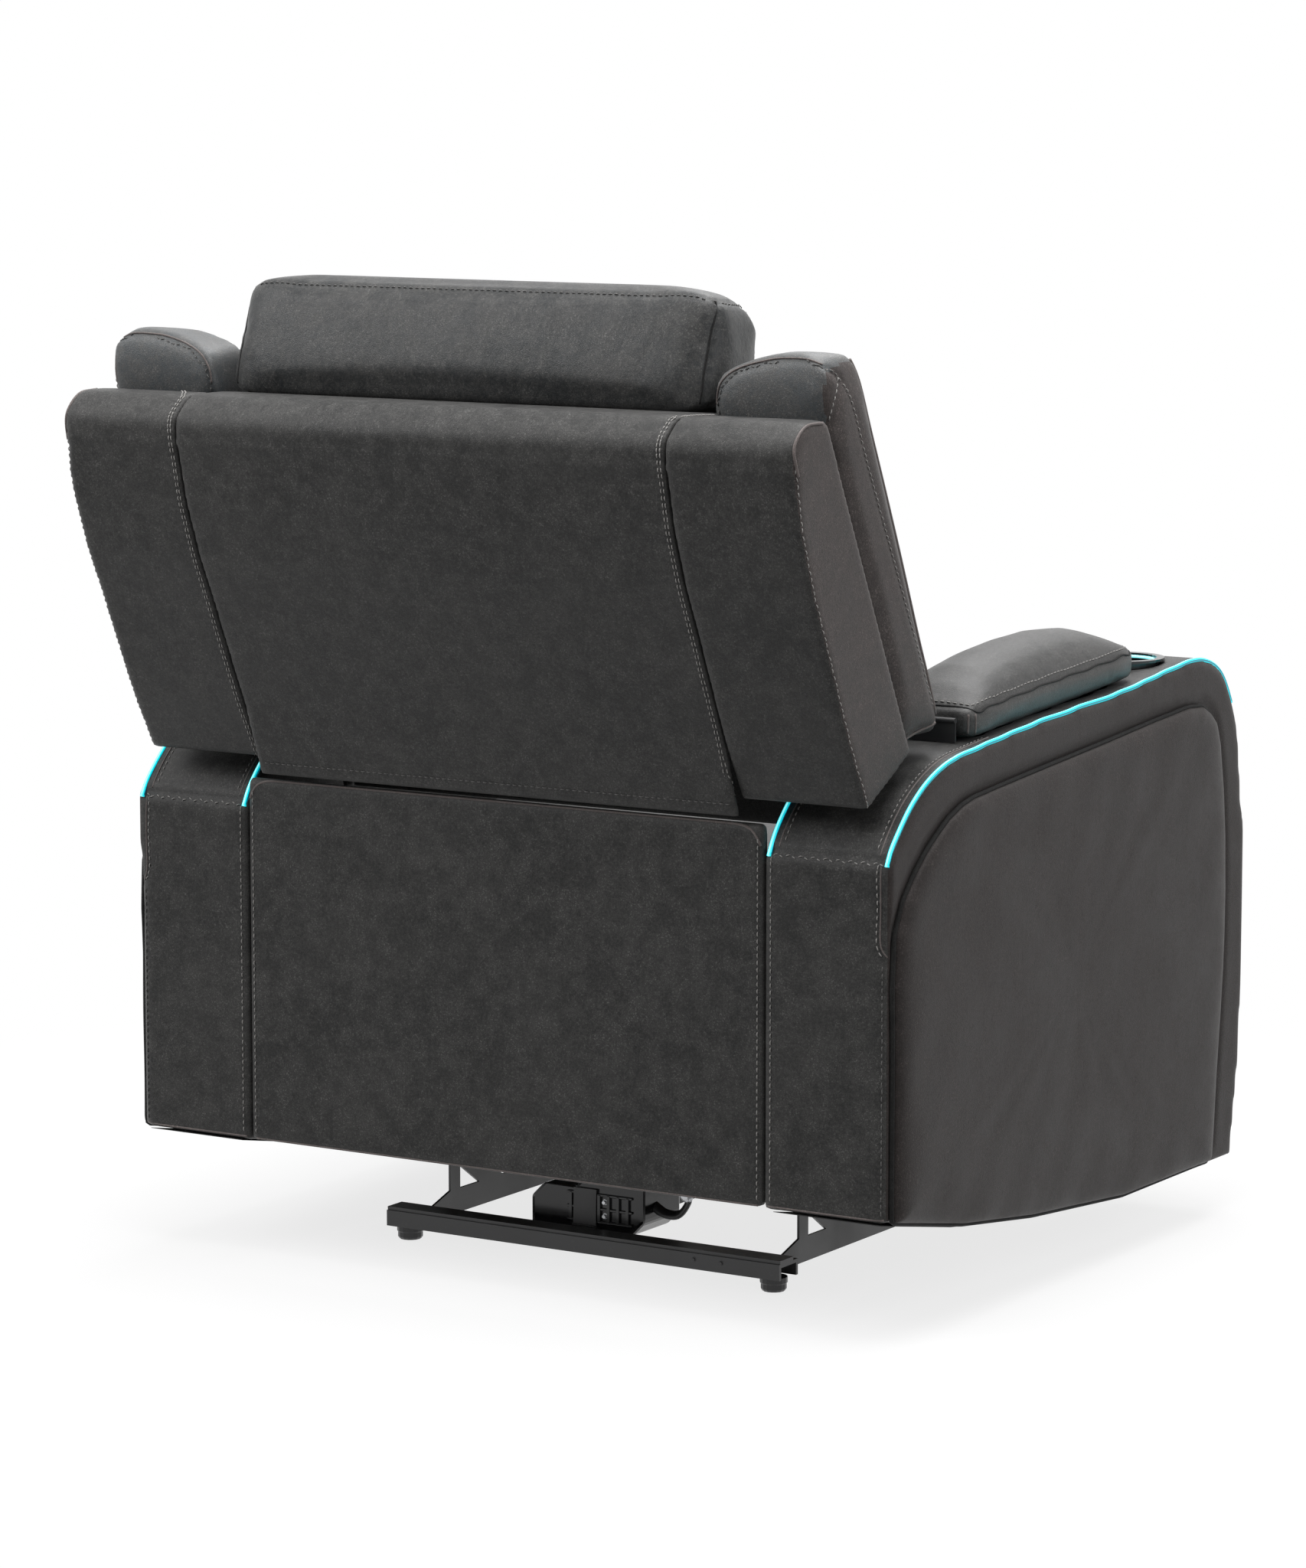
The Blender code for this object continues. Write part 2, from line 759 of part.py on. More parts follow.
def make_back_shell(group, empty):
    """Centre shell of the back: a folded skin, open below, with its lip outside the base."""
    outer = [(LIP_UP, -LIP_REAR), *rear_line(), (RIDGE_UP, -RIDGE_REAR), (SHELF_UP, -SHELF_REAR),
             (HEAD_SEAT_UP, -HEAD_SEAT_REAR), (BOARD_TOP, BOARD_FRONT), (BOARD_FOOT, BOARD_FRONT)]
    inner = [(BOARD_FOOT, BOARD_FRONT - SHELL_WALL),
             (BOARD_TOP - SHELL_WALL, BOARD_FRONT - SHELL_WALL),
             (HEAD_SEAT_UP - SHELL_WALL, -HEAD_SEAT_REAR),
             (SHELF_UP - SHELL_WALL, -SHELF_REAR),
             (RIDGE_UP - SHELL_WALL, -RIDGE_REAR + SHELL_WALL),
             *reversed(rear_line(SHELL_WALL)),
             (LIP_UP + SHELL_WALL * 4, -RIDGE_REAR + SHELL_WALL / 2),
             (LIP_UP, -LIP_REAR + LIP_THICK)]
    closed = ridge_outline(outer) + [back_point(up, forward) for up, forward in inner]
    item = flat_outline("back_shell", closed, -SHELL_HALF, SHELL_HALF, "X", group)
    hang(item, empty)
    return finish_object(item, upholstery())


def make_wing(side, group, empty):
    """Outer rear panel of the back, beside the centre shell."""
    low, high = mirrored_low_high(side, SHELL_HALF + SEAT_GAP, BACK_HALF)
    seam_top = SEAM_TOP_UP - SEAT_GAP
    points = [(WING_FOOT_UP, -WING_FOOT_REAR), *rear_line(), (RIDGE_UP, -RIDGE_REAR), (SHELF_UP, -SHELF_REAR),
              (seam_top, -SEAM_TOP_REAR - SEAT_GAP), (SEAM_FOOT_UP, -SEAM_FOOT_REAR - SEAT_GAP)]
    item = flat_outline("back_wing_" + side_name(side), ridge_outline(points), low, high, "X", group)
    bevel(item, BACK_EDGE, 3, 60.0)
    hang(item, empty)
    return finish_object(item, upholstery())


def between(low, high, share):
    return low + (high - low) * share


def level_up(level, forward):
    """Return how far up the back a world height lies, at a place forward of its axis."""
    lean = math.radians(LEAN_DEG)
    return (level - PIVOT_Z - forward * math.sin(lean)) / math.cos(lean)


def bolster_seam(height):
    """Return the rear of the bolster at a height: the seam, then the ear leaning forward."""
    share = (height - SEAM_FOOT_UP) / (SEAM_TOP_UP - SEAM_FOOT_UP)
    seam = between(-SEAM_FOOT_REAR, -SEAM_TOP_REAR, min(max(share, 0.0), 1.0)) + SEAT_GAP
    return seam + max(height - SEAM_TOP_UP, 0.0) * 0.62


def make_bolster(side, group, empty):
    """Shoulder bolster: a padded column that ends in the ear beside the headrest."""
    inner = BACK_PLATE_X + BACK_PLATE + SEAT_GAP

    def place(across, along, up):
        rise = (up + 1) / 2
        outer_share = (across + 1) / 2
        x = between(inner, BACK_HALF - SIDE_EDGE, outer_share)
        foot = math.sqrt(BOLSTER_FOOT ** 2 - (BOLSTER_FRONT * (along + 1) / 2) ** 2)
        foot = between(SEAM_FOOT_UP, foot, (along + 1) / 2)
        drop = EAR_INNER_DROP * (1 - outer_share) ** 2 + EAR_OUTER_DROP * outer_share ** 4
        crown = 1 - BOLSTER_TUCK_SHARE * across * across
        front = between(BOLSTER_FRONT, BOLSTER_TOP_FRONT, rise * rise) * crown
        ahead_share = (along + 1) / 2
        forward = between(bolster_seam(between(foot, EAR_UP, rise)), front, ahead_share)
        height = between(foot, level_up(EAR_TOP, forward) - drop, rise)
        forward = between(bolster_seam(height), front, ahead_share)
        return (side * x, *back_point(height, forward))

    item = soft_form("back_bolster_" + side_name(side), place, group, 3, 1, 0.55)
    hang(item, empty)
    return finish_object(item, side_upholstery())


def make_headrest(group, empty):
    """Headrest pillow, seated on the slope in front of the ridge."""
    def place(across, along, up):
        rise = (up + 1) / 2
        ahead = (along + 1) / 2
        half = between(HEAD_FOOT_HALF, HEAD_TOP_HALF, rise) - 0.02 * HEAD_THICK * (1 - up * up)
        seat = BOARD_FRONT + HEAD_SEAT_REAR
        foot_up = between(HEAD_SEAT_UP, BOARD_TOP, min(ahead * HEAD_THICK / seat, 1.0))
        foot_forward = between(-HEAD_SEAT_REAR, HEAD_THICK - HEAD_SEAT_REAR, ahead)
        top_forward = between(-HEAD_TOP_REAR, HEAD_THICK - HEAD_TOP_REAR, ahead)
        crown = HEAD_THICK * 0.10 * (1 - across * across) * (1 - up * up) * along
        brow = level_up(CHAIR_TOP, top_forward) - HEAD_BROW * ahead * ahead
        height = between(foot_up + SEAT_GAP, brow, rise)
        forward = between(foot_forward, top_forward, rise) + crown
        return (half * across, *back_point(height, forward))

    item = soft_form("headrest", place, group, 3, 1, 0.55)
    hang(item, empty)
    return finish_object(item, upholstery())


def make_back_cushion(name, foot, top, front, group, empty):
    """Back cushion on the shell's board, crowned to the front."""
    def place(across, along, up):
        rise = (up + 1) / 2
        ahead = (along + 1) / 2
        swell = (1 - across * across) * (1 - up * up)
        half = (SHELL_HALF - PLATE_GAP) * (1 - 0.02 * (1 - up * up))
        depth = front - BOARD_FRONT
        forward = BOARD_FRONT + PLATE_GAP / 2 + depth * ahead * (0.72 + 0.28 * swell)
        return (half * across, *back_point(between(foot, top, rise), forward))

    item = soft_form(name, place, group, 3, 1, 0.55)
    hang(item, empty)
    return finish_object(item, upholstery())


def make_back_plate(side, group, empty, cutters):
    """Steel side plate that carries the back on its pivot."""
    name = "back_plate_" + side_name(side)
    half = BOARD_FRONT / 4
    middle = BOARD_FRONT
    path = [(0.0, 0.0), (BOARD_FOOT, middle * 0.8), (LIP_UP, middle), (LUMBAR_TOP, middle)]
    left = []
    right = []
    for index, (up, forward) in enumerate(path[1:]):
        left.append(back_point(up, forward - half))
        right.append(back_point(up, forward + half))
    boss = 2 * half
    round_end = [(PIVOT_Y + boss * math.cos(math.radians(a)), PIVOT_Z + boss * math.sin(math.radians(a)))
                 for a in range(60, -200, -20)]
    outline = list(reversed(right)) + list(reversed(round_end)) + left
    low, high = mirrored_low_high(side, BACK_PLATE_X, BACK_PLATE_X + BACK_PLATE)
    item = flat_outline(name, outline, low, high, "X", group)
    hole = cylinder(name + "_bore", (side * BACK_PLATE_X, PIVOT_Y, PIVOT_Z), PIN + SEAT_GAP,
                    4 * BACK_PLATE, "X", group, 14)
    cut(item, hole, cutters)
    hang(item, empty)
    return finish_object(item, black_steel())


def make_rear_panel(group):
    """Upholstered panel that closes the base between the arms."""
    half = ARM_INNER - SEAT_GAP
    rear = ARM_REAR
    front = rear - PANEL_THICK
    top = PANEL_TOP
    outline = [(front, PANEL_FOOT), (rear, PANEL_FOOT), (rear, top), (front, top)]
    shaped = rounded(outline, PANEL_THICK * 0.4, 3)
    item = flat_outline("rear_panel", shaped, -half, half, "X", group)
    return finish_object(item, upholstery())


def make_seat_frame(group, cutters):
    """Wooden seat frame with cross slats, screwed between the arms."""
    half = ARM_INNER - SEAT_GAP
    front = PAD_FRONT + PAD_THICK + 2 * FOOTBOARD
    rear = SEAT_REAR - 2 * OVERRUN
    item = box("seat_frame", (-half, front, FRAME_FOOT), (half, rear, FRAME_TOP), group)
    count = 4
    clear = (rear - front - 2 * FRAME_RAIL - (count - 1) * FRAME_SLAT) / count
    for index in range(count):
        start = front + FRAME_RAIL + index * (clear + FRAME_SLAT)
        hole = box("seat_frame_opening_%d" % index,
                   (-half + FRAME_RAIL, start, FRAME_FOOT - OVERRUN),
                   (half - FRAME_RAIL, start + clear, FRAME_TOP + OVERRUN), group)
        cut(item, hole, cutters)
    return finish_object(item, wood())


def make_seat_cushion(group):
    """Seat cushion: crowned, with its front rolled over the frame."""
    def place(across, along, up):
        y = between(SEAT_FRONT, SEAT_REAR, (along + 1) / 2)
        foot = FRAME_TOP + SEAT_GAP
        over = PAD_FRONT + PAD_THICK + 2 * FOOTBOARD
        if y < over:
            foot = PAD_TOP + 2 * FOOTBOARD
        top = SEAT_TOP - SEAT_THICK / 4 * max(along, 0.0)
        swell = (1 - across * across) * (1 - along * along)
        side = SEAT_HALF * (1 - 0.015 * (1 - along * along))
        height = between(foot, top - SEAT_THICK / 6 * (1 - swell), (up + 1) / 2)
        return (side * across, y, height)

    item = soft_form("seat_cushion", place, group, 3, 1, 0.55)
    return finish_object(item, upholstery())


def make_seat_mechanism(group, cutters):
    """Mechanism plates under the seat on two cross tubes, with the pins that they carry."""
    foot = control_pivot()[1] - LINK_HALF
    top = FRAME_FOOT - SEAT_GAP
    front = LINK_Y - 3 * LINK_HALF
    half = 1.6 * LINK_HALF
    rear = PIVOT_Y + half
    outline = [(front, foot + half), (front + half, foot), (rear - 2 * half, foot),
               (rear, foot + 2 * half), (rear, PIVOT_Z)]
    outline += arc((PIVOT_Y, PIVOT_Z), half, 20, 160, 7)
    outline += [(PIVOT_Y - half, PIVOT_Z), (PIVOT_Y - half, top), (front, top)]
    whole = None
    for side in (1, -1):
        name = "seat_mechanism" if side > 0 else "seat_mechanism_right"
        low, high = mirrored_low_high(side, MECH_X, MECH_X + LINK)
        item = flat_outline(name, outline, low, high, "X", group)
        whole = whole or item
        if item is not whole:
            join(whole, item, cutters)
        low, high = mirrored_low_high(side, MECH_X, BACK_PLATE_X + BACK_PLATE)
        join(whole, cylinder(name + "_back_pin", ((low + high) / 2, PIVOT_Y, PIVOT_Z), PIN,
                             high - low, "X", group, 14), cutters)
        low, high = mirrored_low_high(side, LINK_A_X, MECH_X + LINK)
        join(whole, cylinder(name + "_link_pin", ((low + high) / 2, LINK_Y, LINK_Z), PIN,
                             high - low, "X", group, 14), cutters)
        low, high = mirrored_low_high(side, MECH_X, CONTROL_X + LINK)
        join(whole, cylinder(name + "_control_pin", ((low + high) / 2, *control_pivot()), PIN,
                             high - low, "X", group, 14), cutters)
    for kind, y in (("rear", SWING_Y + SHIFT / 2), ("front", SWING_FRONT_Y + SHIFT / 2)):
        tube = cylinder("seat_tube_" + kind, (0.0, y, swing_top()), TUBE_RADIUS,
                        2 * MECH_X + LINK, "X", group, 14)
        join(whole, tube, cutters)
    return finish_object(whole, black_steel())


def swing_top():
    """Return the height of the cross tubes that hang in the swing links."""
    lean = math.asin(SHIFT / 2 / SWING_LENGTH)
    return SWING_FOOT + SWING_LENGTH * (1 + math.cos(lean)) / 2


def ahead(place, length, degrees):
    """Return the Y-Z place at a distance, with the angle taken up from straight ahead."""
    angle = math.radians(degrees)
    return (place[0] - length * math.cos(angle), place[1] + length * math.sin(angle))


def fold_share(share):
    """Return the inner and outer link's angles at a share of the footrest's travel."""
    inner = between(-CLOSED_DEG, OPEN_DEG, share)
    outer = between(CLOSED_DEG, OUTER_OPEN_DEG, share)
    return inner, outer


def knee(share=0.0):
    return ahead((LINK_Y, LINK_Z), LINK_LENGTH, fold_share(share)[0])


def board_pivot(share=0.0):
    return ahead(knee(share), LINK_LENGTH, fold_share(share)[1])


def tail(share=0.0):
    """Return the end of the outer link's tail, behind the knee."""
    return ahead(knee(share), -TAIL, fold_share(share)[1])


def control_pivot():
    """Return the centre of the circle through three places of the outer link's tail."""
    (y1, z1), (y2, z2), (y3, z3) = tail(0.0), tail(0.5), tail(1.0)
    a = 2 * (y2 - y1)
    b = 2 * (z2 - z1)
    c = y2 * y2 + z2 * z2 - y1 * y1 - z1 * z1
    d = 2 * (y3 - y2)
    e = 2 * (z3 - z2)
    f = y3 * y3 + z3 * z3 - y2 * y2 - z2 * z2
    det = a * e - b * d
    return ((c * e - b * f) / det, (a * f - c * d) / det)


def reach_pivot(share=0.0):
    """Return the pivot of the board's control link, on the inner link beyond the knee."""
    return ahead(knee(share), REACH, fold_share(share)[0])


def board_arm(share=0.0):
    """Return the end of the board's arm, which the control link steers."""
    return ahead(board_pivot(share), REACH, -BOARD_ARM_DEG + BOARD_OPEN_DEG * share)


def bar(name, points, plane, side, group):
    """Flat bar with round ends along Y-Z points, at its own place in X."""
    low, high = mirrored_low_high(side, plane, plane + LINK)
    return flat_outline(name, stadium(points[0], points[-1], LINK_HALF), low, high, "X", group)


def bore(item, place, plane, side, group, cutters, label, radius=None):
    """Cut a pivot hole with its clearance."""
    wide = cylinder(item.name + label, (side * plane, *place), (radius or PIN) + SEAT_GAP,
                    6 * LINK, "X", group, 16)
    cut(item, wide, cutters)


def pin(item, place, near, far, side, group, cutters, label):
    """Add a pivot pin that reaches from one plane to another."""
    low, high = mirrored_low_high(side, near, far)
    shaft = cylinder(item.name + label, ((low + high) / 2, *place), PIN, high - low, "X",
                     group, 20)
    join(item, shaft, cutters)


def make_inner_links(group, cutters, empty):
    """Two inner footrest links on the torque tube that turns them."""
    whole = None
    for side in (1, -1):
        name = "footrest_inner_links" if side > 0 else "footrest_inner_link_right"
        low, high = mirrored_low_high(side, LINK_A_X, LINK_A_X + LINK)
        outline = stadium((LINK_Y, LINK_Z), reach_pivot(), LINK_HALF)
        item = flat_outline(name, outline, low, high, "X", group)
        bore(item, (LINK_Y, LINK_Z), LINK_A_X, side, group, cutters, "_bore")
        pin(item, knee(), LINK_B_X, LINK_A_X + LINK, side, group, cutters, "_knee_pin")
        pin(item, reach_pivot(), LINK_A_X, MECH_X + LINK, side, group, cutters, "_reach_pin")
        whole = whole or item
        if item is not whole:
            join(whole, item, cutters)
    middle = ahead((LINK_Y, LINK_Z), TORQUE_SET, -CLOSED_DEG)
    tube = cylinder("torque_tube", (0.0, *middle), TORQUE_RADIUS, 2 * LINK_A_X + LINK, "X",
                    group, 20)
    join(whole, tube, cutters)
    hang(whole, empty)
    return finish_object(whole, black_steel())


def make_outer_links(group, cutters, empty):
    """Two outer footrest links on their cross bar."""
    whole = None
    for side in (1, -1):
        name = "footrest_outer_links" if side > 0 else "footrest_outer_link_right"
        low, high = mirrored_low_high(side, LINK_B_X, LINK_B_X + LINK)
        outline = stadium(tail(), board_pivot(), LINK_HALF)
        item = flat_outline(name, outline, low, high, "X", group)
        bore(item, knee(), LINK_B_X, side, group, cutters, "_bore")
        pin(item, board_pivot(), BOARD_X, LINK_B_X + LINK, side, group, cutters, "_board_pin")
        whole = whole or item
        if item is not whole:
            join(whole, item, cutters)
    middle = ahead(knee(), TORQUE_SET, CLOSED_DEG)
    tube = cylinder("cross_bar", (0.0, *middle), TORQUE_RADIUS * 0.7, 2 * LINK_B_X + LINK, "X",
                    group, 16)
    join(whole, tube, cutters)
    hang(whole, empty)
    return finish_object(whole, black_steel())


def make_control_link(side, group, cutters, empty):
    """Link from the seat plate to the outer link's tail; its far pivot is left open."""
    item = bar("control_link_" + side_name(side), (control_pivot(), tail()), CONTROL_X, side, group)
    bore(item, control_pivot(), CONTROL_X, side, group, cutters, "_bore")
    hang(item, empty)
    return finish_object(item, black_steel())


def make_board_link(side, group, cutters, empty):
    """Link from the inner link to the board's arm; its far pivot is left open."""
    item = bar("board_link_" + side_name(side), (reach_pivot(), board_arm()), MECH_X, side, group)
    bore(item, reach_pivot(), MECH_X, side, group, cutters, "_bore")
    hang(item, empty)
    return finish_object(item, black_steel())


def make_footrest(group, cutters, empty):
    """Footrest: padded front, its wooden board and the two steel brackets."""
    inner = PAD_FRONT + PAD_THICK
    middle = (PAD_TOP + PAD_FOOT) / 2

    def place(across, along, up):
        swell = (1 - across * across) * (1 - up * up)
        half = PAD_HALF * (1 - 0.012 * (1 - up * up))
        crown = PAD_THICK * 0.16 * (1 - swell) * (1 - along) / 2
        y = between(PAD_FRONT, inner, (along + 1) / 2) + crown
        return (half * across, y, middle + (PAD_TOP - PAD_FOOT) / 2 * up)

    pad = soft_form("footrest_pad", place, group, 3, 1, 0.55)
    hang(pad, empty)
    finish_object(pad, upholstery())
    half = BOARD_X - SEAT_GAP
    board = box("footrest_board", (-half, inner + SEAT_GAP, PAD_FOOT + FOOTBOARD),
                (half, inner + FOOTBOARD, PAD_TOP - FOOTBOARD), group)
    hang(board, empty)
    finish_object(board, wood())
    y, z = board_pivot()
    for side in (1, -1):
        plate = [(inner + PLATE_GAP, PAD_FOOT + 3 * FOOTBOARD), (inner + PLATE_GAP, PAD_TOP - 3 * FOOTBOARD),
                 (inner + FOOTBOARD, PAD_TOP - 3 * FOOTBOARD)]
        plate += arc((y, z), LINK_HALF - PLATE_GAP, 60, -60, 6)
        plate += [(inner + FOOTBOARD, PAD_FOOT + 3 * FOOTBOARD)]
        low, high = mirrored_low_high(side, BOARD_X, BOARD_X + LINK)
        item = flat_outline("footrest_bracket_" + side_name(side), plate, low, high, "X", group)
        bore(item, (y, z), BOARD_X, side, group, cutters, "_bore")
        hang(item, empty)
        finish_object(item, black_steel())


def make_rail(kind, rear, group):
    """Floor rail: a pressed channel, open below, with a step along its top."""
    wall = RAIL_WALL
    top = RAIL_FOOT + RAIL_HEIGHT
    step = RAIL_DEPTH / 4
    front = rear - RAIL_DEPTH
    outline = [(rear, RAIL_FOOT), (rear, top - 2 * wall), (rear - wall, top - 2 * wall),
               (rear - wall, top), (front + step, top), (front + step, top - 2 * wall),
               (front, top - 2 * wall), (front, RAIL_FOOT), (front + 2 * wall, RAIL_FOOT),
               (front + 2 * wall, top - 4 * wall), (rear - 2 * wall, top - 4 * wall),
               (rear - 2 * wall, RAIL_FOOT)]
    item = flat_outline(kind + "_rail", outline, -RAIL_HALF, RAIL_HALF, "X", group)
    return finish_object(item, black_steel())


def make_foot(name, x, y, group):
    """Round plastic foot with a wider rim, turned."""
    top = RAIL_FOOT - SEAT_GAP
    profile = ((0.0, top), (FOOT_RADIUS, top), (FOOT_RADIUS, top * 0.62),
               (FOOT_RADIUS * 0.93, top * 0.52), (FOOT_RADIUS * 0.93, top * 0.18),
               (FOOT_RADIUS * 0.80, 0.0), (0.0, 0.0))
    mesh = bpy.data.meshes.new(name)
    verts = [(radius, 0.0, height) for radius, height in profile]
    mesh.from_pydata(verts, [(i, i + 1) for i in range(len(verts) - 1)], [])
    item = link_object(name, mesh, group)
    item.location = (x, y, 0.0)
    turn = item.modifiers.new("turn", "SCREW")
    turn.steps = 16
    turn.render_steps = 16
    turn.use_merge_vertices = True
    turn.merge_threshold = WELD
    item.data.materials.append(black_plastic())
    return item


def make_base_plate(side, group, cutters):
    """Side plate of the floor frame: a bar with two braced posts and their pins."""
    name = "base_plate_" + side_name(side)
    foot = RAIL_FOOT - 3 * SEAT_GAP
    top = foot + BAR_HEIGHT
    rear = RAIL_REAR - RAIL_DEPTH - SEAT_GAP
    front = RAIL_FRONT + SEAT_GAP
    half = POST_WIDTH / 2
    brace = SWING_FOOT - foot
    outline = [(rear, foot), (rear, top - half), (SWING_Y + half, top)]
    for y in (SWING_Y, SWING_FRONT_Y):
        outline.append((y + half, SWING_FOOT))
        outline += arc((y, SWING_FOOT), half, 30, 150, 4)
        outline.append((y - half, SWING_FOOT - half))
        outline.append((y - half - brace, top))
        if y == SWING_Y:
            outline.append((SWING_FRONT_Y + half, top))
    outline += [(front, top), (front, foot)]
    low, high = mirrored_low_high(side, BASE_X, BASE_X + PLATE)
    item = flat_outline(name, outline, low, high, "X", group)
    for label, y in (("_window", SWING_Y), ("_front_window", SWING_FRONT_Y)):
        corner = y - half * 0.3
        window = [(corner, top), (corner, SWING_FOOT - 1.7 * half),
                  (corner - (SWING_FOOT - 1.7 * half - top) * 1.5, top)]
        low, high = mirrored_low_high(side, BASE_X - PLATE, BASE_X + 2 * PLATE)
        cut(item, flat_outline(name + label, window, low, high, "X", group), cutters)
        pin(item, (y, SWING_FOOT), BASE_X, SWING_X + LINK, side, group, cutters, label + "_pin")
    return finish_object(item, black_steel())


def make_swing_link(kind, side, y, group, cutters, empty):
    """Swing link with an eye round the seat's cross tube."""
    name = "swing_link_%s_%s" % (kind, side_name(side))
    lean = math.asin(SHIFT / 2 / SWING_LENGTH)
    eye = (y + SWING_LENGTH * math.sin(lean), SWING_FOOT + SWING_LENGTH * math.cos(lean))
    low, high = mirrored_low_high(side, SWING_X, SWING_X + LINK)
    item = flat_outline(name, stadium((y, SWING_FOOT), eye, LINK_HALF), low, high, "X", group)
    ring = cylinder(name + "_eye", (side * (SWING_X + LINK / 2), *eye),
                    TUBE_RADIUS + EYE_GAP + LINK_HALF / 2, LINK, "X", group, 18)
    join(item, ring, cutters)
    bore(item, eye, SWING_X, side, group, cutters, "_eye_bore", TUBE_RADIUS + EYE_GAP)
    bore(item, (y, SWING_FOOT), SWING_X, side, group, cutters, "_bore")
    hang(item, empty)
    return finish_object(item, black_steel())


def make_drive(group, cutters, empty):
    """Gearbox with its hook bracket, the drive rail and the block that runs on it."""
    half = MOTOR_WIDTH / 2
    floor = MOTOR_Z - MOTOR_HEIGHT / 2
    roof = MOTOR_Z + MOTOR_HEIGHT / 2
    chamfer = MOTOR_HEIGHT / 4
    outline = [(MOTOR_X - half, floor + chamfer), (MOTOR_X - half + chamfer, floor),
               (MOTOR_X + half, floor), (MOTOR_X + half, roof - 2 * chamfer),
               (MOTOR_X + half - chamfer, roof - chamfer), (MOTOR_X + chamfer, roof - chamfer),
               (MOTOR_X, roof), (MOTOR_X - half, roof)]
    gearbox = flat_outline("motor_gearbox", outline, MOTOR_Y - MOTOR_DEPTH / 2,
                           MOTOR_Y + MOTOR_DEPTH / 2, "Y", group)
    bevel(gearbox, chamfer / 4, 2, 40.0)
    finish_object(gearbox, black_plastic())
    rear = RAIL_REAR - RAIL_DEPTH - SEAT_GAP
    wall = DRIVE_WALL
    near = MOTOR_Y + MOTOR_DEPTH / 2 + SEAT_GAP
    hook = [(near, floor + chamfer), (rear, RAIL_FOOT + wall), (rear, RAIL_FOOT + RAIL_HEIGHT),
            (rear - wall, RAIL_FOOT + RAIL_HEIGHT), (near + wall, roof - chamfer), (near, roof - chamfer)]
    bracket = flat_outline("motor_bracket", hook, MOTOR_X - DRIVE_WIDTH / 2,
                           MOTOR_X + DRIVE_WIDTH / 2, "X", group)
    finish_object(bracket, black_steel())
    low = MOTOR_X - DRIVE_WIDTH / 2
    high = MOTOR_X + DRIVE_WIDTH / 2
    rail_foot = RAIL_FOOT + RAIL_HEIGHT - DRIVE_HEIGHT / 2
    rail_top = rail_foot + DRIVE_HEIGHT
    channel = [(low, rail_foot), (high, rail_foot), (high, rail_top), (high - 2 * wall, rail_top),
               (high - 2 * wall, rail_top - wall), (high - wall, rail_top - wall),
               (high - wall, rail_foot + wall), (low + wall, rail_foot + wall),
               (low + wall, rail_top - wall), (low + 2 * wall, rail_top - wall),
               (low + 2 * wall, rail_top), (low, rail_top)]
    rail = flat_outline("drive_rail", channel, RAIL_FRONT + SEAT_GAP,
                        MOTOR_Y - MOTOR_DEPTH / 2 - SEAT_GAP, "Y", group)
    finish_object(rail, black_steel())
    gap = 2 * SEAT_GAP
    start = MOTOR_Y - MOTOR_DEPTH / 2 - OVERRUN
    saddle = [(low - gap - wall, rail_foot), (low - gap, rail_foot), (low - gap, rail_top + gap),
              (high + gap, rail_top + gap), (high + gap, rail_foot), (high + gap + wall, rail_foot),
              (high + gap + wall, rail_top + DRIVE_HEIGHT), (low - gap - wall, rail_top + DRIVE_HEIGHT)]
    block = flat_outline("drive_block", saddle, start - BLOCK_LENGTH, start, "Y", group)
    hole = cylinder("drive_block_bore", (MOTOR_X, start - BLOCK_LENGTH / 2, rail_top + DRIVE_HEIGHT / 2),
                    PIN, 2 * DRIVE_WIDTH, "X", group, 16)
    cut(block, hole, cutters)
    hang(block, empty)
    finish_object(block, black_plastic())


def make_switch(group, cutters, empties):
    """Switch plate on the right arm's inner face, with two sprung buttons."""
    face = ARM_INNER - SEAT_GAP
    half = SWITCH_LENGTH / 2
    plate = box("switch_plate", (-face, SWITCH_Y - half, SWITCH_Z - SWITCH_HEIGHT / 2),
                (-face + SWITCH_THICK, SWITCH_Y + half, SWITCH_Z + SWITCH_HEIGHT / 2), group)
    bevel(plate, SWITCH_THICK / 4, 2, 60.0)
    for label, share, empty in (("button_open", -0.5, empties[0]), ("button_close", 0.5, empties[1])):
        y = SWITCH_Y + share * half
        hole = cylinder(label + "_bore", (-face, y, SWITCH_Z), BUTTON_RADIUS + SEAT_GAP,
                        4 * SWITCH_THICK, "X", group, 24)
        cut(plate, hole, cutters)
        back = face - BUTTON_TRAVEL - SEAT_GAP
        front = face - SWITCH_THICK - BUTTON_PROUD
        cap = cylinder(label, (-(back + front) / 2, y, SWITCH_Z), BUTTON_RADIUS, back - front,
                       "X", group, 24)
        bevel(cap, BUTTON_PROUD / 5, 2, 60.0)
        hang(cap, empty)
        finish_object(cap, button_metal())
    return finish_object(plate, black_plastic())


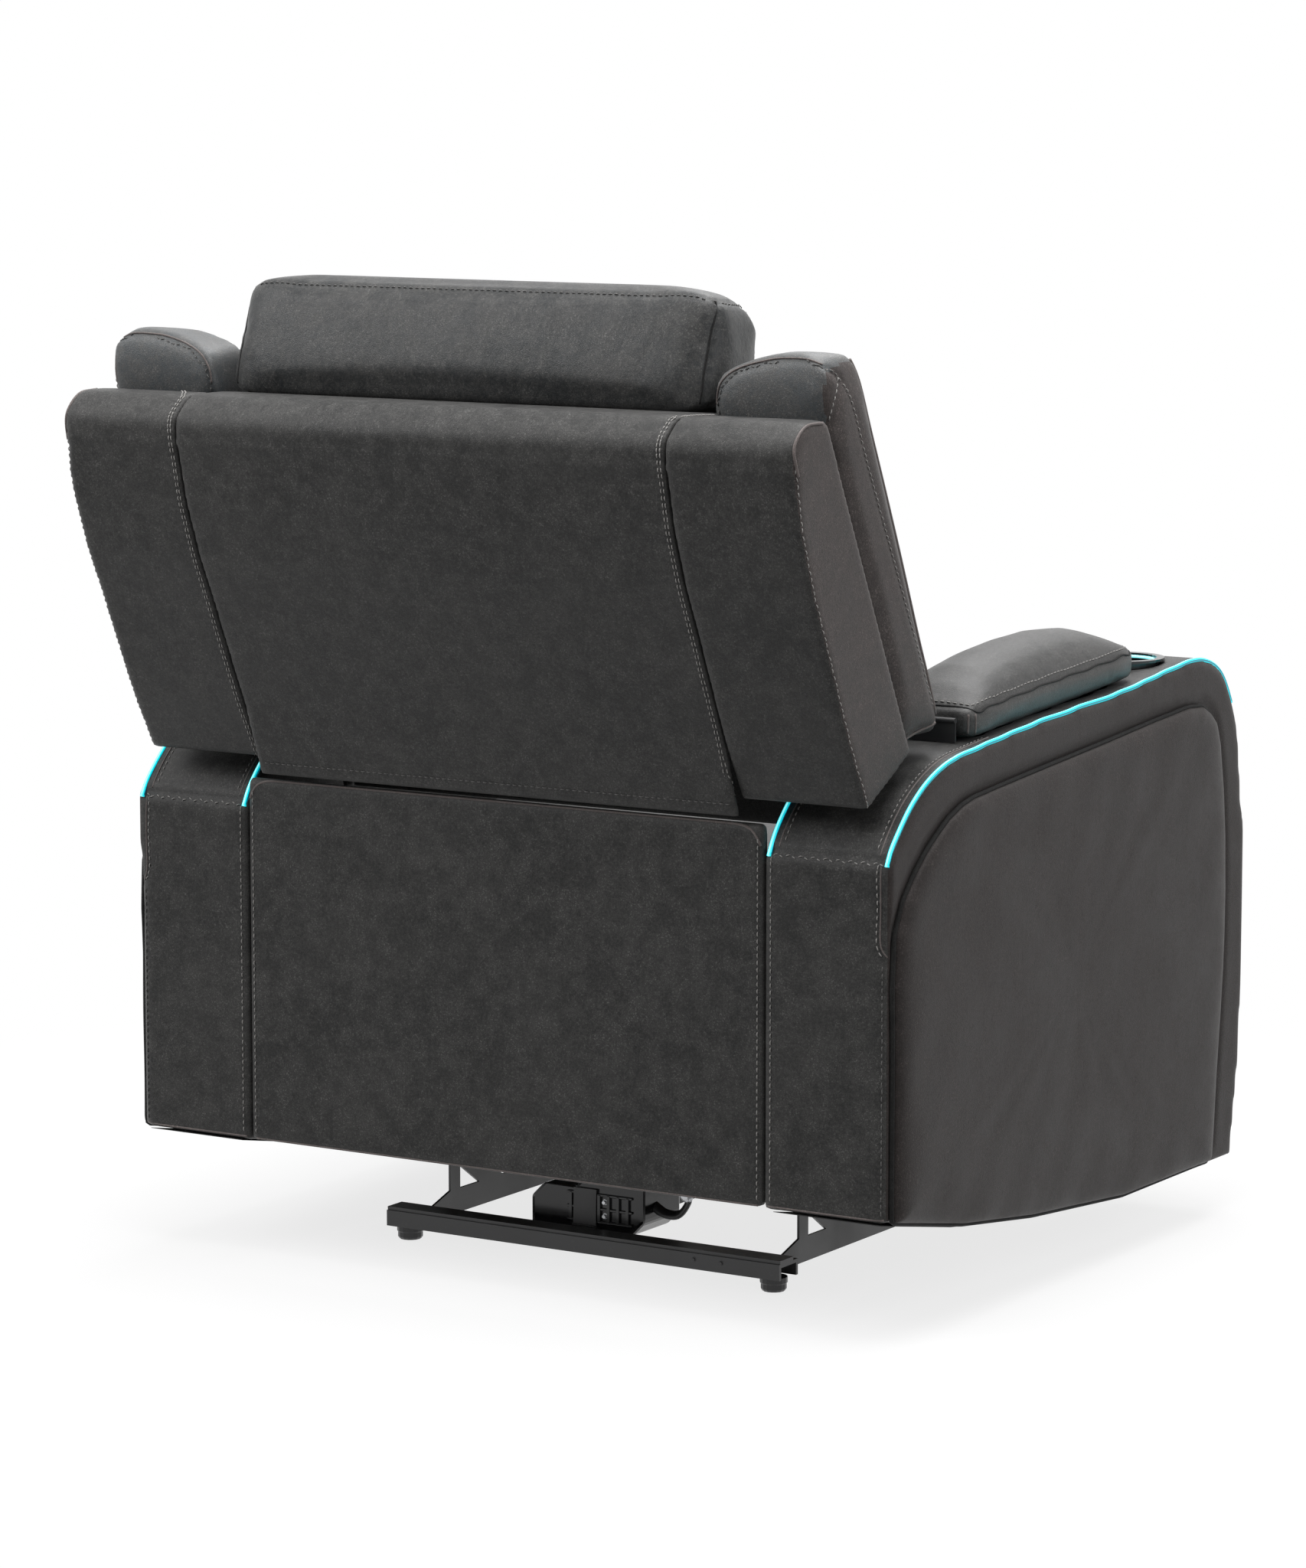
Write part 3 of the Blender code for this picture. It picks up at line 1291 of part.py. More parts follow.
def main():
    clear_objects()
    chair = collection("power_recliner")
    cutters = collection("cutters")
    make_rail("rear", RAIL_REAR, chair)
    make_rail("front", RAIL_FRONT, chair)
    for end, rear in (("rear", RAIL_REAR), ("front", RAIL_FRONT)):
        for side in (1, -1):
            make_foot("foot_%s_%s" % (end, side_name(side)), side * FOOT_X, rear - RAIL_DEPTH / 2, chair)
    drive_place = joint_empty("drive_axis", (MOTOR_X, MOTOR_Y, MOTOR_Z), chair)
    make_drive(chair, cutters, drive_place)
    swings = (("rear", SWING_Y), ("front", SWING_FRONT_Y))
    for kind, y in swings:
        place = joint_empty("swing_%s_axis" % kind, (0.0, y, SWING_FOOT), chair)
        for side in (1, -1):
            make_swing_link(kind, side, y, chair, cutters, place)
    make_seat_mechanism(chair, cutters)
    make_seat_frame(chair, cutters)
    make_seat_cushion(chair)
    make_rear_panel(chair)
    back = joint_empty("back_axis", (0.0, PIVOT_Y, PIVOT_Z), chair)
    lid_axis = joint_empty("lid_axis", (0.0, *hinge_axis()), chair)
    for side in (1, -1):
        make_base_plate(side, chair, cutters)
        make_arm(side, chair, cutters)
        make_side_panel(side, chair)
        make_light(side, False, chair)
        make_light(side, True, chair)
        make_dust_cover(side, chair)
        make_cup_holder(side, chair)
        make_lid_hinge(side, chair, cutters)
        make_lid(side, chair, lid_axis)
        make_wing(side, chair, back)
        make_bolster(side, chair, back)
        make_back_plate(side, chair, back, cutters)
    make_back_shell(chair, back)
    make_back_cushion("lumbar_cushion", BOARD_FOOT, LUMBAR_TOP - PLATE_GAP, CUSHION_FRONT, chair, back)
    make_back_cushion("upper_back_cushion", LUMBAR_TOP, BOARD_TOP - PLATE_GAP * 2, UPPER_FRONT,
                      chair, back)
    make_headrest(chair, back)
    inner_axis = joint_empty("inner_link_axis", (0.0, LINK_Y, LINK_Z), chair)
    make_inner_links(chair, cutters, inner_axis)
    outer_axis = joint_empty("outer_link_axis", (0.0, *knee()), chair)
    make_outer_links(chair, cutters, outer_axis)
    control_axis = joint_empty("control_link_axis", (0.0, *control_pivot()), chair)
    reach_axis = joint_empty("board_link_axis", (0.0, *reach_pivot()), chair)
    for side in (1, -1):
        make_control_link(side, chair, cutters, control_axis)
        make_board_link(side, chair, cutters, reach_axis)
    board_axis = joint_empty("board_axis", (0.0, *board_pivot()), chair)
    make_footrest(chair, cutters, board_axis)
    buttons = []
    for label, share in (("open", -0.5), ("close", 0.5)):
        place = (-ARM_INNER, SWITCH_Y + share * SWITCH_LENGTH / 2, SWITCH_Z)
        buttons.append(joint_empty("button_%s_axis" % label, place, chair))
    make_switch(chair, cutters, buttons)


main()
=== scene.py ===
"""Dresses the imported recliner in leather, thread, light strips, steel and plastic, in a studio."""

import math

import bmesh
import bpy
import numpy as np
from bpy.props import FloatProperty, FloatVectorProperty, PointerProperty
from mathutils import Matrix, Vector
from mathutils.bvhtree import BVHTree


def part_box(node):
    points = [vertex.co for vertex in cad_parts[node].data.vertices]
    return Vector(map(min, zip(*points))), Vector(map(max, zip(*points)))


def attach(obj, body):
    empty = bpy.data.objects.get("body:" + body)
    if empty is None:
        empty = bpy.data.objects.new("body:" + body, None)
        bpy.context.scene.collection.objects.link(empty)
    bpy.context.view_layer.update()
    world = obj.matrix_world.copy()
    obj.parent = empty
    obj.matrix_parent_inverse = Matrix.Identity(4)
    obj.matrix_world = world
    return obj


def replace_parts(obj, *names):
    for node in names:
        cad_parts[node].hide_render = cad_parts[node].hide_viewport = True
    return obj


bl_info = {
    "name": "Recliner upholstery",
    "version": (1, 0, 0),
    "blender": (4, 5, 0),
    "location": "View3D > Sidebar > Recliner",
    "description": "Upholsters and finishes the power recliner around its frame",
    "category": "Add Mesh",
}

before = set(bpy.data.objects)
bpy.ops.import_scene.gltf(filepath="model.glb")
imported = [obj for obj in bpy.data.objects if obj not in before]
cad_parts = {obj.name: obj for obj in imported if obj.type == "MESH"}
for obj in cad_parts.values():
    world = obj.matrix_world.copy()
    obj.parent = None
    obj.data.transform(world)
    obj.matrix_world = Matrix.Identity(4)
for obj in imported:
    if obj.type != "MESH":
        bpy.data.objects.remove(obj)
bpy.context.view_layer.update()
SIDES = {"left": 1.0, "right": -1.0}


# Mesh helpers


def link(name, mesh, surface=None):
    """A named object in the scene that holds the mesh."""
    item = bpy.data.objects.new(name, mesh)
    bpy.context.scene.collection.objects.link(item)
    if surface:
        mesh.materials.append(surface)
    return item


def mesh_of(name, points, faces, smooth=True):
    """A mesh from points and faces, with its normals turned outward."""
    mesh = bpy.data.meshes.new(name)
    mesh.from_pydata([tuple(point) for point in points], [], faces)
    work = bmesh.new()
    work.from_mesh(mesh)
    bmesh.ops.recalc_face_normals(work, faces=work.faces)
    work.to_mesh(mesh)
    work.free()
    mesh.polygons.foreach_set("use_smooth", [smooth] * len(mesh.polygons))
    return mesh


def coordinates(item):
    """The vertices of an object's mesh as rows of numbers."""
    values = np.empty(len(item.data.vertices) * 3)
    item.data.vertices.foreach_get("co", values)
    return values.reshape(-1, 3)


def directions(item):
    """The vertex normals of an object's mesh as rows of numbers."""
    values = np.empty(len(item.data.vertices) * 3, np.float32)
    item.data.vertex_normals.foreach_get("vector", values)
    return values.reshape(-1, 3).astype(float)


def move_to(item, values):
    """Writes new places for an object's vertices."""
    item.data.vertices.foreach_set("co", np.asarray(values, np.float32).ravel())
    item.data.update()


def baked(item):
    """Applies an object's modifiers to its mesh."""
    graph = bpy.context.evaluated_depsgraph_get()
    mesh = bpy.data.meshes.new_from_object(item.evaluated_get(graph))
    item.modifiers.clear()
    old, item.data = item.data, mesh
    bpy.data.meshes.remove(old)
    mesh.polygons.foreach_set("use_smooth", [True] * len(mesh.polygons))
    return item


def smoothed(item, passes):
    """Smooths a whole skin a little, after its other modifiers."""
    smooth = item.modifiers.new("smoothed", "SMOOTH")
    smooth.factor, smooth.iterations = 0.5, passes
    return baked(item)


def skin(node, name, voxel, ease, narrow=0.0):
    """An even quad skin over a CAD node, with its edges eased and drawn in by a little."""
    work = bmesh.new()
    work.from_mesh(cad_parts[node].data)
    bmesh.ops.remove_doubles(work, verts=work.verts, dist=1e-5)
    mesh = bpy.data.meshes.new(name)
    work.to_mesh(mesh)
    work.free()
    item = link(name, mesh)
    remesh = item.modifiers.new("even quads", "REMESH")
    remesh.mode, remesh.voxel_size = "VOXEL", voxel
    smoothed(item, ease)
    if narrow:
        move_to(item, coordinates(item) - narrow * directions(item))
    return item


def filled(item, reach, pressure=4.0, frames=20):
    """Swells a padded skin with the cloth solver, and caps how far each point moves."""
    before = coordinates(item)
    cloth = item.modifiers.new("filling", "CLOTH")
    cloth.settings.use_pressure = True
    cloth.settings.uniform_pressure_force = pressure
    cloth.settings.effector_weights.gravity = 0
    cloth.settings.quality = 4
    cloth.point_cache.frame_start, cloth.point_cache.frame_end = 1, frames
    for number in range(1, frames + 1):
        bpy.context.scene.frame_set(number)
    baked(item)
    bpy.context.scene.frame_set(1)
    moved = coordinates(item) - before
    length = np.maximum(np.linalg.norm(moved, axis=1, keepdims=True), 1e-9)
    move_to(item, before + moved * np.minimum(1.0, reach / length))
    return item


def finer(item):
    """One level of subdivision, applied."""
    surface = item.modifiers.new("finer", "SUBSURF")
    surface.levels = surface.render_levels = 1
    return baked(item)


def walk(points, step, closed=False):
    """Evenly spaced points along a line of points."""
    line = [Vector(point) for point in points]
    if closed:
        line.append(line[0].copy())
    lengths = [0.0]
    for first, second in zip(line, line[1:]):
        lengths.append(lengths[-1] + (second - first).length)
    count = max(2, int(round(lengths[-1] / step)))
    spots = np.linspace(0, lengths[-1], count + 1)
    array = np.array([tuple(point) for point in line])
    found = np.stack([np.interp(spots, lengths, array[:, axis]) for axis in range(3)], axis=1)
    return found[:-1] if closed else found


def curve_through(points, step=0.004, closed=False):
    """A smooth line through a few points, evenly spaced."""
    anchors = [Vector(point) for point in points]
    count = len(anchors)
    smooth = []
    for index in range(count if closed else count - 1):
        second, third = anchors[index], anchors[(index + 1) % count]
        first = anchors[index - 1] if closed or index else second * 2 - third
        last = index + 2
        fourth = anchors[last % count] if closed or last < count else third * 2 - second
        for share in np.linspace(0, 1, 12, endpoint=False):
            square, cube = share * share, share**3
            bend = (2 * first - 5 * second + 4 * third - fourth) * square
            twist = (3 * second - first - 3 * third + fourth) * cube
            smooth.append(0.5 * (2 * second + (third - first) * share + bend + twist))
    if not closed:
        smooth.append(anchors[-1])
    return walk(smooth, step, closed)


def tree_of(*items):
    """A search tree over the meshes of some objects."""
    points, faces = [], []
    for item in items:
        start = len(points)
        points += [vertex.co.copy() for vertex in item.data.vertices]
        faces += [[start + corner for corner in face.vertices] for face in item.data.polygons]
    return BVHTree.FromPolygons(points, faces)


def laid(path, items, lift=0.0):
    """A path dropped to the nearest surface, raised by lift, and the surface's normals there."""
    tree = tree_of(*items)
    spots, ups = [], []
    for point in path:
        place, normal, _, _ = tree.find_nearest(Vector(point))
        spots.append(place + normal * lift)
        ups.append(normal)
    return np.array([tuple(spot) for spot in spots]), np.array([tuple(up) for up in ups])


def cast(path, items, heading, lift=0.0):
    """A path thrown onto surfaces along one direction. Points that miss are left out."""
    tree = tree_of(*items)
    way = Vector(heading).normalized()
    found = []
    for point in path:
        place, normal, _, _ = tree.ray_cast(Vector(point), way)
        if place is not None:
            found.append(place + normal * lift)
    return np.array([tuple(spot) for spot in found])


def circle(middle, first, second, radius, sides):
    """Points round a middle, in the plane of two directions."""
    turns = (2 * math.pi * corner / sides for corner in range(sides))
    return [middle + radius * (first * math.cos(turn) + second * math.sin(turn)) for turn in turns]


def ringed(start, sides, rings, closed=False):
    """Quads that join rings of points, each ring to the next."""
    faces = []
    for ring in range(rings if closed else rings - 1):
        here, there = start + ring * sides, start + (ring + 1) % rings * sides
        for corner in range(sides):
            beside = (corner + 1) % sides
            faces.append((here + corner, here + beside, there + beside, there + corner))
    return faces


def ends_of(start, sides, rings):
    """The two faces that close the first and the last ring."""
    last = start + (rings - 1) * sides
    return [tuple(range(start, start + sides)), tuple(range(last, last + sides))]


def tube(name, path, radius, surface, closed=False, sides=8, flat=1.0):
    """A round or flattened tube along a path, with closed ends."""
    path = np.asarray(path, float)
    count = len(path)
    ahead = np.roll(path, -1, axis=0) - np.roll(path, 1, axis=0)
    if not closed:
        ahead[0], ahead[-1] = path[1] - path[0], path[-1] - path[-2]
    ahead /= np.maximum(np.linalg.norm(ahead, axis=1, keepdims=True), 1e-9)
    guide = np.cross(ahead[0], (0.31, 0.52, 0.79))
    points = []
    for index in range(count):
        guide = guide - ahead[index] * guide.dot(ahead[index])
        guide /= np.linalg.norm(guide)
        other = np.cross(ahead[index], guide)
        points += circle(path[index], guide, other * flat, radius, sides)
    faces = ringed(0, sides, count, closed)
    if not closed:
        faces += ends_of(0, sides, count)
    return link(name, mesh_of(name, points, faces), surface)


# Points that are compared with a path at one time
CHUNK = 4000


def thrown(values, path, width):
    """Each point's distance from a path, as a falloff from 1 on it to 0 at width."""
    path = np.asarray(path, float)
    low, high = path.min(0) - width, path.max(0) + width
    near = np.all((values > low) & (values < high), axis=1)
    falloff = np.zeros(len(values))
    chosen = np.flatnonzero(near)
    for start in range(0, len(chosen), CHUNK):
        part = chosen[start : start + CHUNK]
        gaps = np.linalg.norm(values[part][:, None, :] - path[None, :, :], axis=2).min(1)
        falloff[part] = np.clip(1 - (gaps / width) ** 2, 0, 1) ** 2
    return falloff


def dent(item, path, width, depth):
    """Presses a seam into a skin along a path, or raises a ridge where depth is negative."""
    values = coordinates(item)
    move_to(item, values - directions(item) * (thrown(values, path, width) * depth)[:, None])


def dent_under(item, path, width, depth):
    """Presses a seam into a skin where a path beside it comes nearest."""
    dent(item, laid(path, [item])[0], width, depth)


def turned_in(item, first, second, reach, rise):
    """Rounds the corner between two directions to a quarter of an ellipse, reach by rise."""
    values = coordinates(item)
    first, second = np.array(first, float), np.array(second, float)
    along, up = values @ first, values @ second
    above = up - (up.max() - rise)
    beside = along - (along[above > 0].max() - reach)
    size = np.hypot(np.clip(beside / reach, 0, None), np.clip(above / rise, 0, None))
    chosen = (beside > 0) & (above > 0) & (size > 1)
    shrink = np.where(chosen, 1 - 1 / np.maximum(size, 1), 0)
    move_to(item, values - np.outer(beside * shrink, first) - np.outer(above * shrink, second))


def ends_rounded(item, reach, middle, pull=0.14, more_pull=0.30):
    """Rounds a pillow's two ends off toward its middle, most at the top and front."""
    values = coordinates(item)
    out = np.abs(values[:, 0])
    near = np.clip((out - (out.max() - reach)) / reach, 0, 1)
    ahead, above = values[:, 1] - middle[0], values[:, 2] - middle[1]
    lean = np.clip((above - ahead) / (1.414 * np.hypot(ahead, above) + 1e-6), 0, 1)
    shrink = (1 - np.sqrt(1 - near**2)) * (pull + more_pull * lean)
    values[:, 1] -= ahead * shrink
    values[:, 2] -= above * shrink
    move_to(item, values)


def softened(item, path, width, passes, least=0.02):
    """Rounds a skin off along an edge: repeated smoothing that fades out at width."""
    weight = thrown(coordinates(item), path, width)
    work = bmesh.new()
    work.from_mesh(item.data)
    work.verts.ensure_lookup_table()
    chosen = [work.verts[int(index)] for index in np.flatnonzero(weight > least)]
    for _ in range(passes):
        moved = []
        for vertex in chosen:
            near = [edge.other_vert(vertex).co for edge in vertex.link_edges]
            middle = sum(near, Vector()) / len(near)
            moved.append(vertex.co.lerp(middle, 0.5 * weight[vertex.index]))
        for vertex, place in zip(chosen, moved):
            vertex.co = place
    work.to_mesh(item.data)
    work.free()
    item.data.update()


# One stitch: share of its length, share of its radius, and rise above the leather in radii
STITCH_RINGS = (
    (0.0, 0.35, -0.6), (0.2, 0.95, 0.3), (0.5, 1.0, 0.7), (0.8, 0.95, 0.3), (1.0, 0.35, -0.6)
)
STITCH_SIDES = 5


def stitches(name, path, items, surface, length, space, radius, lean):
    """One row of thread stitches that lie on a surface along a path."""
    spots, ups = laid(walk(path, length + space), items, radius * 0.5)
    points, faces = [], []
    for index in range(len(spots) - 1):
        up = ups[index]
        ahead = spots[index + 1] - spots[index]
        reach = np.linalg.norm(ahead)
        if reach < 1e-5 or reach > 2 * (length + space):
            continue
        ahead = ahead / reach
        across = np.cross(up, ahead)
        ahead = ahead + across * lean * (1 if index % 2 else -1)
        ahead /= np.linalg.norm(ahead)
        across = np.cross(up, ahead)
        shape = (len(points), STITCH_SIDES, len(STITCH_RINGS))
        for share, size, rise in STITCH_RINGS:
            middle = spots[index] + ahead * length * share + up * radius * rise
            points += circle(middle, across, up, radius * size, STITCH_SIDES)
        faces += ringed(*shape) + ends_of(*shape)
    return link(name, mesh_of(name, points, faces), surface)


def fitted(item, body, slot, *nodes):
    """Makes a piece ride on a body and stand for its CAD nodes. Its slot is not used."""
    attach(item, body)
    if nodes:
        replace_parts(item, *nodes)
    return item


# Material helpers


def plug(tree, node, inputs):
    """Gives a shader node its inputs, as values or as links."""
    for key, value in inputs.items():
        if isinstance(value, bpy.types.NodeSocket):
            tree.links.new(value, node.inputs[key])
        else:
            node.inputs[key].default_value = value


def add(tree, kind, inputs=None, **settings):
    """One shader node of a kind, with its settings and inputs."""
    made = tree.nodes.new("ShaderNode" + kind)
    for key, value in settings.items():
        setattr(made, key, value)
    plug(tree, made, inputs or {})
    return made


def fresh(name):
    """A new material with its node tree, its shader and its object coordinates."""
    surface = bpy.data.materials.new(name)
    surface.use_nodes = True
    tree = surface.node_tree
    place = add(tree, "TexCoord").outputs["Object"]
    return surface, tree, tree.nodes["Principled BSDF"], place


def noise(tree, place, scale, detail=2.0, rough=0.5, stretch=None):
    """Soft random values, one over scale metres apart."""
    if stretch:
        place = add(tree, "Mapping", {"Vector": place, "Scale": stretch}).outputs["Vector"]
    inputs = {"Vector": place, "Scale": scale, "Detail": detail, "Roughness": rough}
    return add(tree, "TexNoise", inputs).outputs["Fac"]


def cells(tree, place, scale, feature="F1"):
    """Cells one over scale metres across, as distances from their middles or their edges."""
    made = add(tree, "TexVoronoi", {"Vector": place, "Scale": scale}, feature=feature)
    return made.outputs["Distance"]


def ramp(tree, factor, *stops):
    """A colour ramp with the given places and colours."""
    made = add(tree, "ValToRGB", {"Fac": factor})
    band = made.color_ramp
    while len(band.elements) < len(stops):
        band.elements.new(0.5)
    for element, (where, colour) in zip(band.elements, stops):
        element.position = where
        shade = colour if hasattr(colour, "__len__") else (colour,) * 3
        element.color = (*shade[:3], 1.0)
    return made.outputs["Color"]


def spots(tree, place, scale, detail, rough, start, end):
    """Random spots: 0 where the noise is under start and 1 where it is over end."""
    return ramp(tree, noise(tree, place, scale, detail, rough), (start, 0.0), (end, 1.0))


def mixed(tree, factor, first, second, way="MIX"):
    """Two colours mixed, or blended in another way."""
    made = add(tree, "Mix", {0: factor}, data_type="RGBA", blend_type=way)
    for index, value in ((6, first), (7, second)):
        plug(tree, made, {index: (*value, 1.0) if isinstance(value, tuple) else value})
    return made.outputs[2]


def sums(tree, kind, first, second):
    """Two values added, multiplied or otherwise combined."""
    return add(tree, "Math", {0: first, 1: second}, operation=kind).outputs[0]


def total(tree, first, second):
    """The sum of two values."""
    return sums(tree, "ADD", first, second)


def product(tree, first, second):
    """The product of two values."""
    return sums(tree, "MULTIPLY", first, second)


def spread(tree, value, low, high, top=1.0):
    """A value from 0 to top, spread between low and high."""
    inputs = {"Value": value, "From Max": top, "To Min": low, "To Max": high}
    return add(tree, "MapRange", inputs).outputs["Result"]


def bumped(tree, height, distance, strength, under=None):
    """A bump of a real height in metres, laid over another one."""
    inputs = {"Height": height, "Distance": distance, "Strength": strength}
    if under:
        inputs["Normal"] = under
    return add(tree, "Bump", inputs).outputs["Normal"]


def worn_edges(tree):
    """A value that is 1 on the outer edges of a dense mesh and 0 elsewhere."""
    point = add(tree, "NewGeometry").outputs["Pointiness"]
    return ramp(tree, point, (0.515, 0.0), (0.60, 1.0))


def seen_rays(tree):
    """1 for rays of the camera, reflections and transmission, and 0 for all others."""
    path = add(tree, "LightPath").outputs
    seen = sums(tree, "MAXIMUM", path["Is Camera Ray"], path["Is Glossy Ray"])
    return sums(tree, "MAXIMUM", seen, path["Is Transmission Ray"])


def tone(colour, factor, lift=0.0):
    """A colour made darker or paler."""
    return tuple(factor * value + lift for value in colour)


def leather(name, base, worn, rough, grain, wrinkles=0.5, shine=0.24):
    """Coated leather: mottled colour, pebbled grain, faint wrinkles and worn edges."""
    surface, tree, shader, place = fresh(name)
    pale = tone(worn, 2.1)
    drift = add(tree, "VectorMath", {0: noise(tree, place, 60), "Scale": 0.006}, operation="SCALE")
    moved = add(tree, "VectorMath", {0: place, 1: drift.outputs[0]}, operation="ADD").outputs[0]
    patches = spots(tree, place, 9, 3, 0.6, 0.38, 0.64)
    clouds = spots(tree, place, 42, 5, 0.78, 0.42, 0.62)
    specks = spots(tree, place, 250, 4, 0.8, 0.47, 0.60)
    fleck = spots(tree, place, 520, 2, 0.6, 0.56, 0.66)
    edges = cells(tree, moved, 1 / grain, "DISTANCE_TO_EDGE")
    pebble = ramp(tree, edges, (0.0, 0.0), (0.16, 0.8), (0.5, 1.0))
    rubbed = total(tree, product(tree, patches, 0.26), product(tree, clouds, 0.50))
    colour = base
    for share, over in (
        (rubbed, worn),
        (product(tree, specks, total(tree, rubbed, 0.35)), worn),
        (product(tree, fleck, total(tree, product(tree, clouds, 0.70), 0.15)), pale),
        (product(tree, worn_edges(tree), 0.40), pale),
    ):
        colour = mixed(tree, share, colour, over)
    valley = ramp(tree, pebble, (0.0, 0.55), (0.7, 1.0))
    wavy = noise(tree, place, 46, 3, 0.6, (1.0, 1.0, 0.55))
    swell = bumped(tree, noise(tree, place, 11), 0.004, 0.20 * wrinkles)
    hide = bumped(tree, pebble, 0.00022, 0.50, bumped(tree, wavy, 0.0012, 0.30 * wrinkles, swell))
    plug(tree, shader, {
        "Base Color": mixed(tree, 0.8, colour, valley, "MULTIPLY"),
        "Roughness": spread(tree, total(tree, clouds, patches), rough - 0.05, rough + 0.09, 2.0),
        "Normal": bumped(tree, noise(tree, place, 1500), 0.00008, 0.35, hide),
        "Specular IOR Level": min(2.0 * shine, 1.0),
        "Specular Tint": (0.25, 0.25, 0.25, 1.0),
        "Sheen Weight": 0.05,
        "Sheen Roughness": 0.5,
    })
    return surface


def thread(name, colour):
    """Twisted polyester thread."""
    surface, tree, shader, place = fresh(name)
    twist = add(tree, "TexWave", {"Vector": place, "Scale": 700.0, "Distortion": 2.0})
    plug(tree, shader, {
        "Base Color": mixed(tree, noise(tree, place, 260), colour, tone(colour, 1.5)),
        "Normal": bumped(tree, twist.outputs["Fac"], 0.0002, 0.6),
        "Roughness": 0.62,
        "Sheen Weight": 0.2,
    })
    return surface


def light_strip(name, glow, edge, core, strength):
    """A lit strip: a pale core along its crest, coloured beside it and dark blue at its foot."""
    surface, tree, shader, place = fresh(name)
    facing = add(tree, "TexCoord").outputs["Normal"]
    across = add(tree, "SeparateXYZ", {"Vector": facing}).outputs["X"]
    lean = add(tree, "Math", {0: across}, operation="ABSOLUTE").outputs[0]
    bands = ((0.0, core), (0.34, core), (0.52, glow), (0.86, glow), (0.97, edge), (1.0, edge))
    speckle = product(tree, noise(tree, place, 90), 0.20)
    colour = mixed(tree, speckle, ramp(tree, lean, *bands), edge)
    plug(tree, shader, {
        "Emission Color": colour,
        "Emission Strength": strength,
        "Base Color": mixed(tree, 0.5, colour, glow),
        "Normal": bumped(tree, noise(tree, place, 900), 0.0001, 0.2),
        "Roughness": 0.25,
    })
    return surface


def coated_steel(name, base, rough=0.42):
    """Black powder-coated steel with a fine orange peel, dust and rubbed spots."""
    surface, tree, shader, place = fresh(name)
    rub = spots(tree, place, 38, 5, 0.7, 0.60, 0.72)
    dust = spots(tree, place, 12, 3, 0.5, 0.4, 0.75)
    colour = mixed(tree, product(tree, rub, 0.35), base, tone(base, 4.2, 0.02))
    plug(tree, shader, {
        "Base Color": mixed(tree, product(tree, dust, 0.12), colour, (0.11, 0.105, 0.10)),
        "Roughness": spread(tree, dust, rough - 0.06, rough + 0.16),
        "Normal": bumped(tree, noise(tree, place, 900), 0.00012, 0.45),
        "Coat Weight": 0.25,
        "Coat Roughness": 0.35,
    })
    return surface


def moulded(name, base, rough=0.28):
    """Moulded plastic with flow marks and a fine texture."""
    surface, tree, shader, place = fresh(name)
    flow = noise(tree, place, 24, 3, 0.6, (1.0, 0.35, 1.0))
    plug(tree, shader, {
        "Base Color": mixed(tree, product(tree, flow, 0.6), base, tone(base, 1.9, 0.006)),
        "Roughness": spread(tree, noise(tree, place, 140, 3), rough - 0.06, rough + 0.10),
        "Normal": bumped(tree, noise(tree, place, 1100), 0.00008, 0.4),
    })
    return surface


def plywood(name):
    """Plywood: long pale grain and darker pores."""
    surface, tree, shader, place = fresh(name)
    figure = noise(tree, place, 16, 5, 0.65, (0.25, 1.0, 3.0))
    pores = noise(tree, place, 160, 3, 0.7, (0.08, 1.0, 1.0))
    woods = ((0.25, (0.30, 0.17, 0.075)), (0.5, (0.46, 0.29, 0.15)), (0.75, (0.56, 0.38, 0.21)))
    dark = product(tree, ramp(tree, pores, (0.52, 0.0), (0.70, 1.0)), 0.5)
    plug(tree, shader, {
        "Base Color": mixed(tree, dark, ramp(tree, figure, *woods), (0.16, 0.085, 0.04)),
        "Normal": bumped(tree, pores, 0.0003, 0.5),
        "Roughness": 0.66,
    })
    return surface


def cambric(name, base):
    """Black spun-bonded dust cloth with its dotted bond."""
    surface, tree, shader, place = fresh(name)
    dots = ramp(tree, cells(tree, place, 620), (0.18, 0.0), (0.42, 1.0))
    colour = mixed(tree, noise(tree, place, 500, 4, 0.75), base, tone(base, 2.4, 0.006))
    plug(tree, shader, {
        "Base Color": mixed(tree, 0.4, colour, dots, "MULTIPLY"),
        "Normal": bumped(tree, dots, 0.0003, 0.6),
        "Roughness": 0.86,
        "Sheen Weight": 0.12,
    })
    return surface


def brushed_metal(name, base, rough=0.32):
    """Brushed or plated metal with fine parallel scratches."""
    surface, tree, shader, place = fresh(name)
    lines = noise(tree, place, 300, 3, 0.6, (0.05, 1.0, 6.0))
    plug(tree, shader, {
        "Base Color": mixed(tree, lines, tone(base, 0.6), base),
        "Roughness": spread(tree, lines, rough - 0.08, rough + 0.12),
        "Normal": bumped(tree, lines, 0.00005, 0.5),
        "Metallic": 1.0,
    })
    return surface


# Places on the chair, in metres

LEAN = math.radians(21.0)
PIVOT_Y, PIVOT_Z = 0.164, 0.407
SHELL_HALF, WING_HALF = 0.308, 0.460
ARM_INNER, ARM_HALF, ARM_REAR = 0.333, 0.485, 0.340
ROLL_SEAM = 0.523
FOLD_UP, HEM_UP, SEAM_LOW = 0.603, 0.1375, 0.142
REAR_UPS = (0.2166, 0.288, 0.341, 0.421, 0.474, 0.540, 0.581, 0.631)
REAR_REACHES = (0.1094, 0.1195, 0.1234, 0.1285, 0.1329, 0.1324, 0.1267, 0.1195)


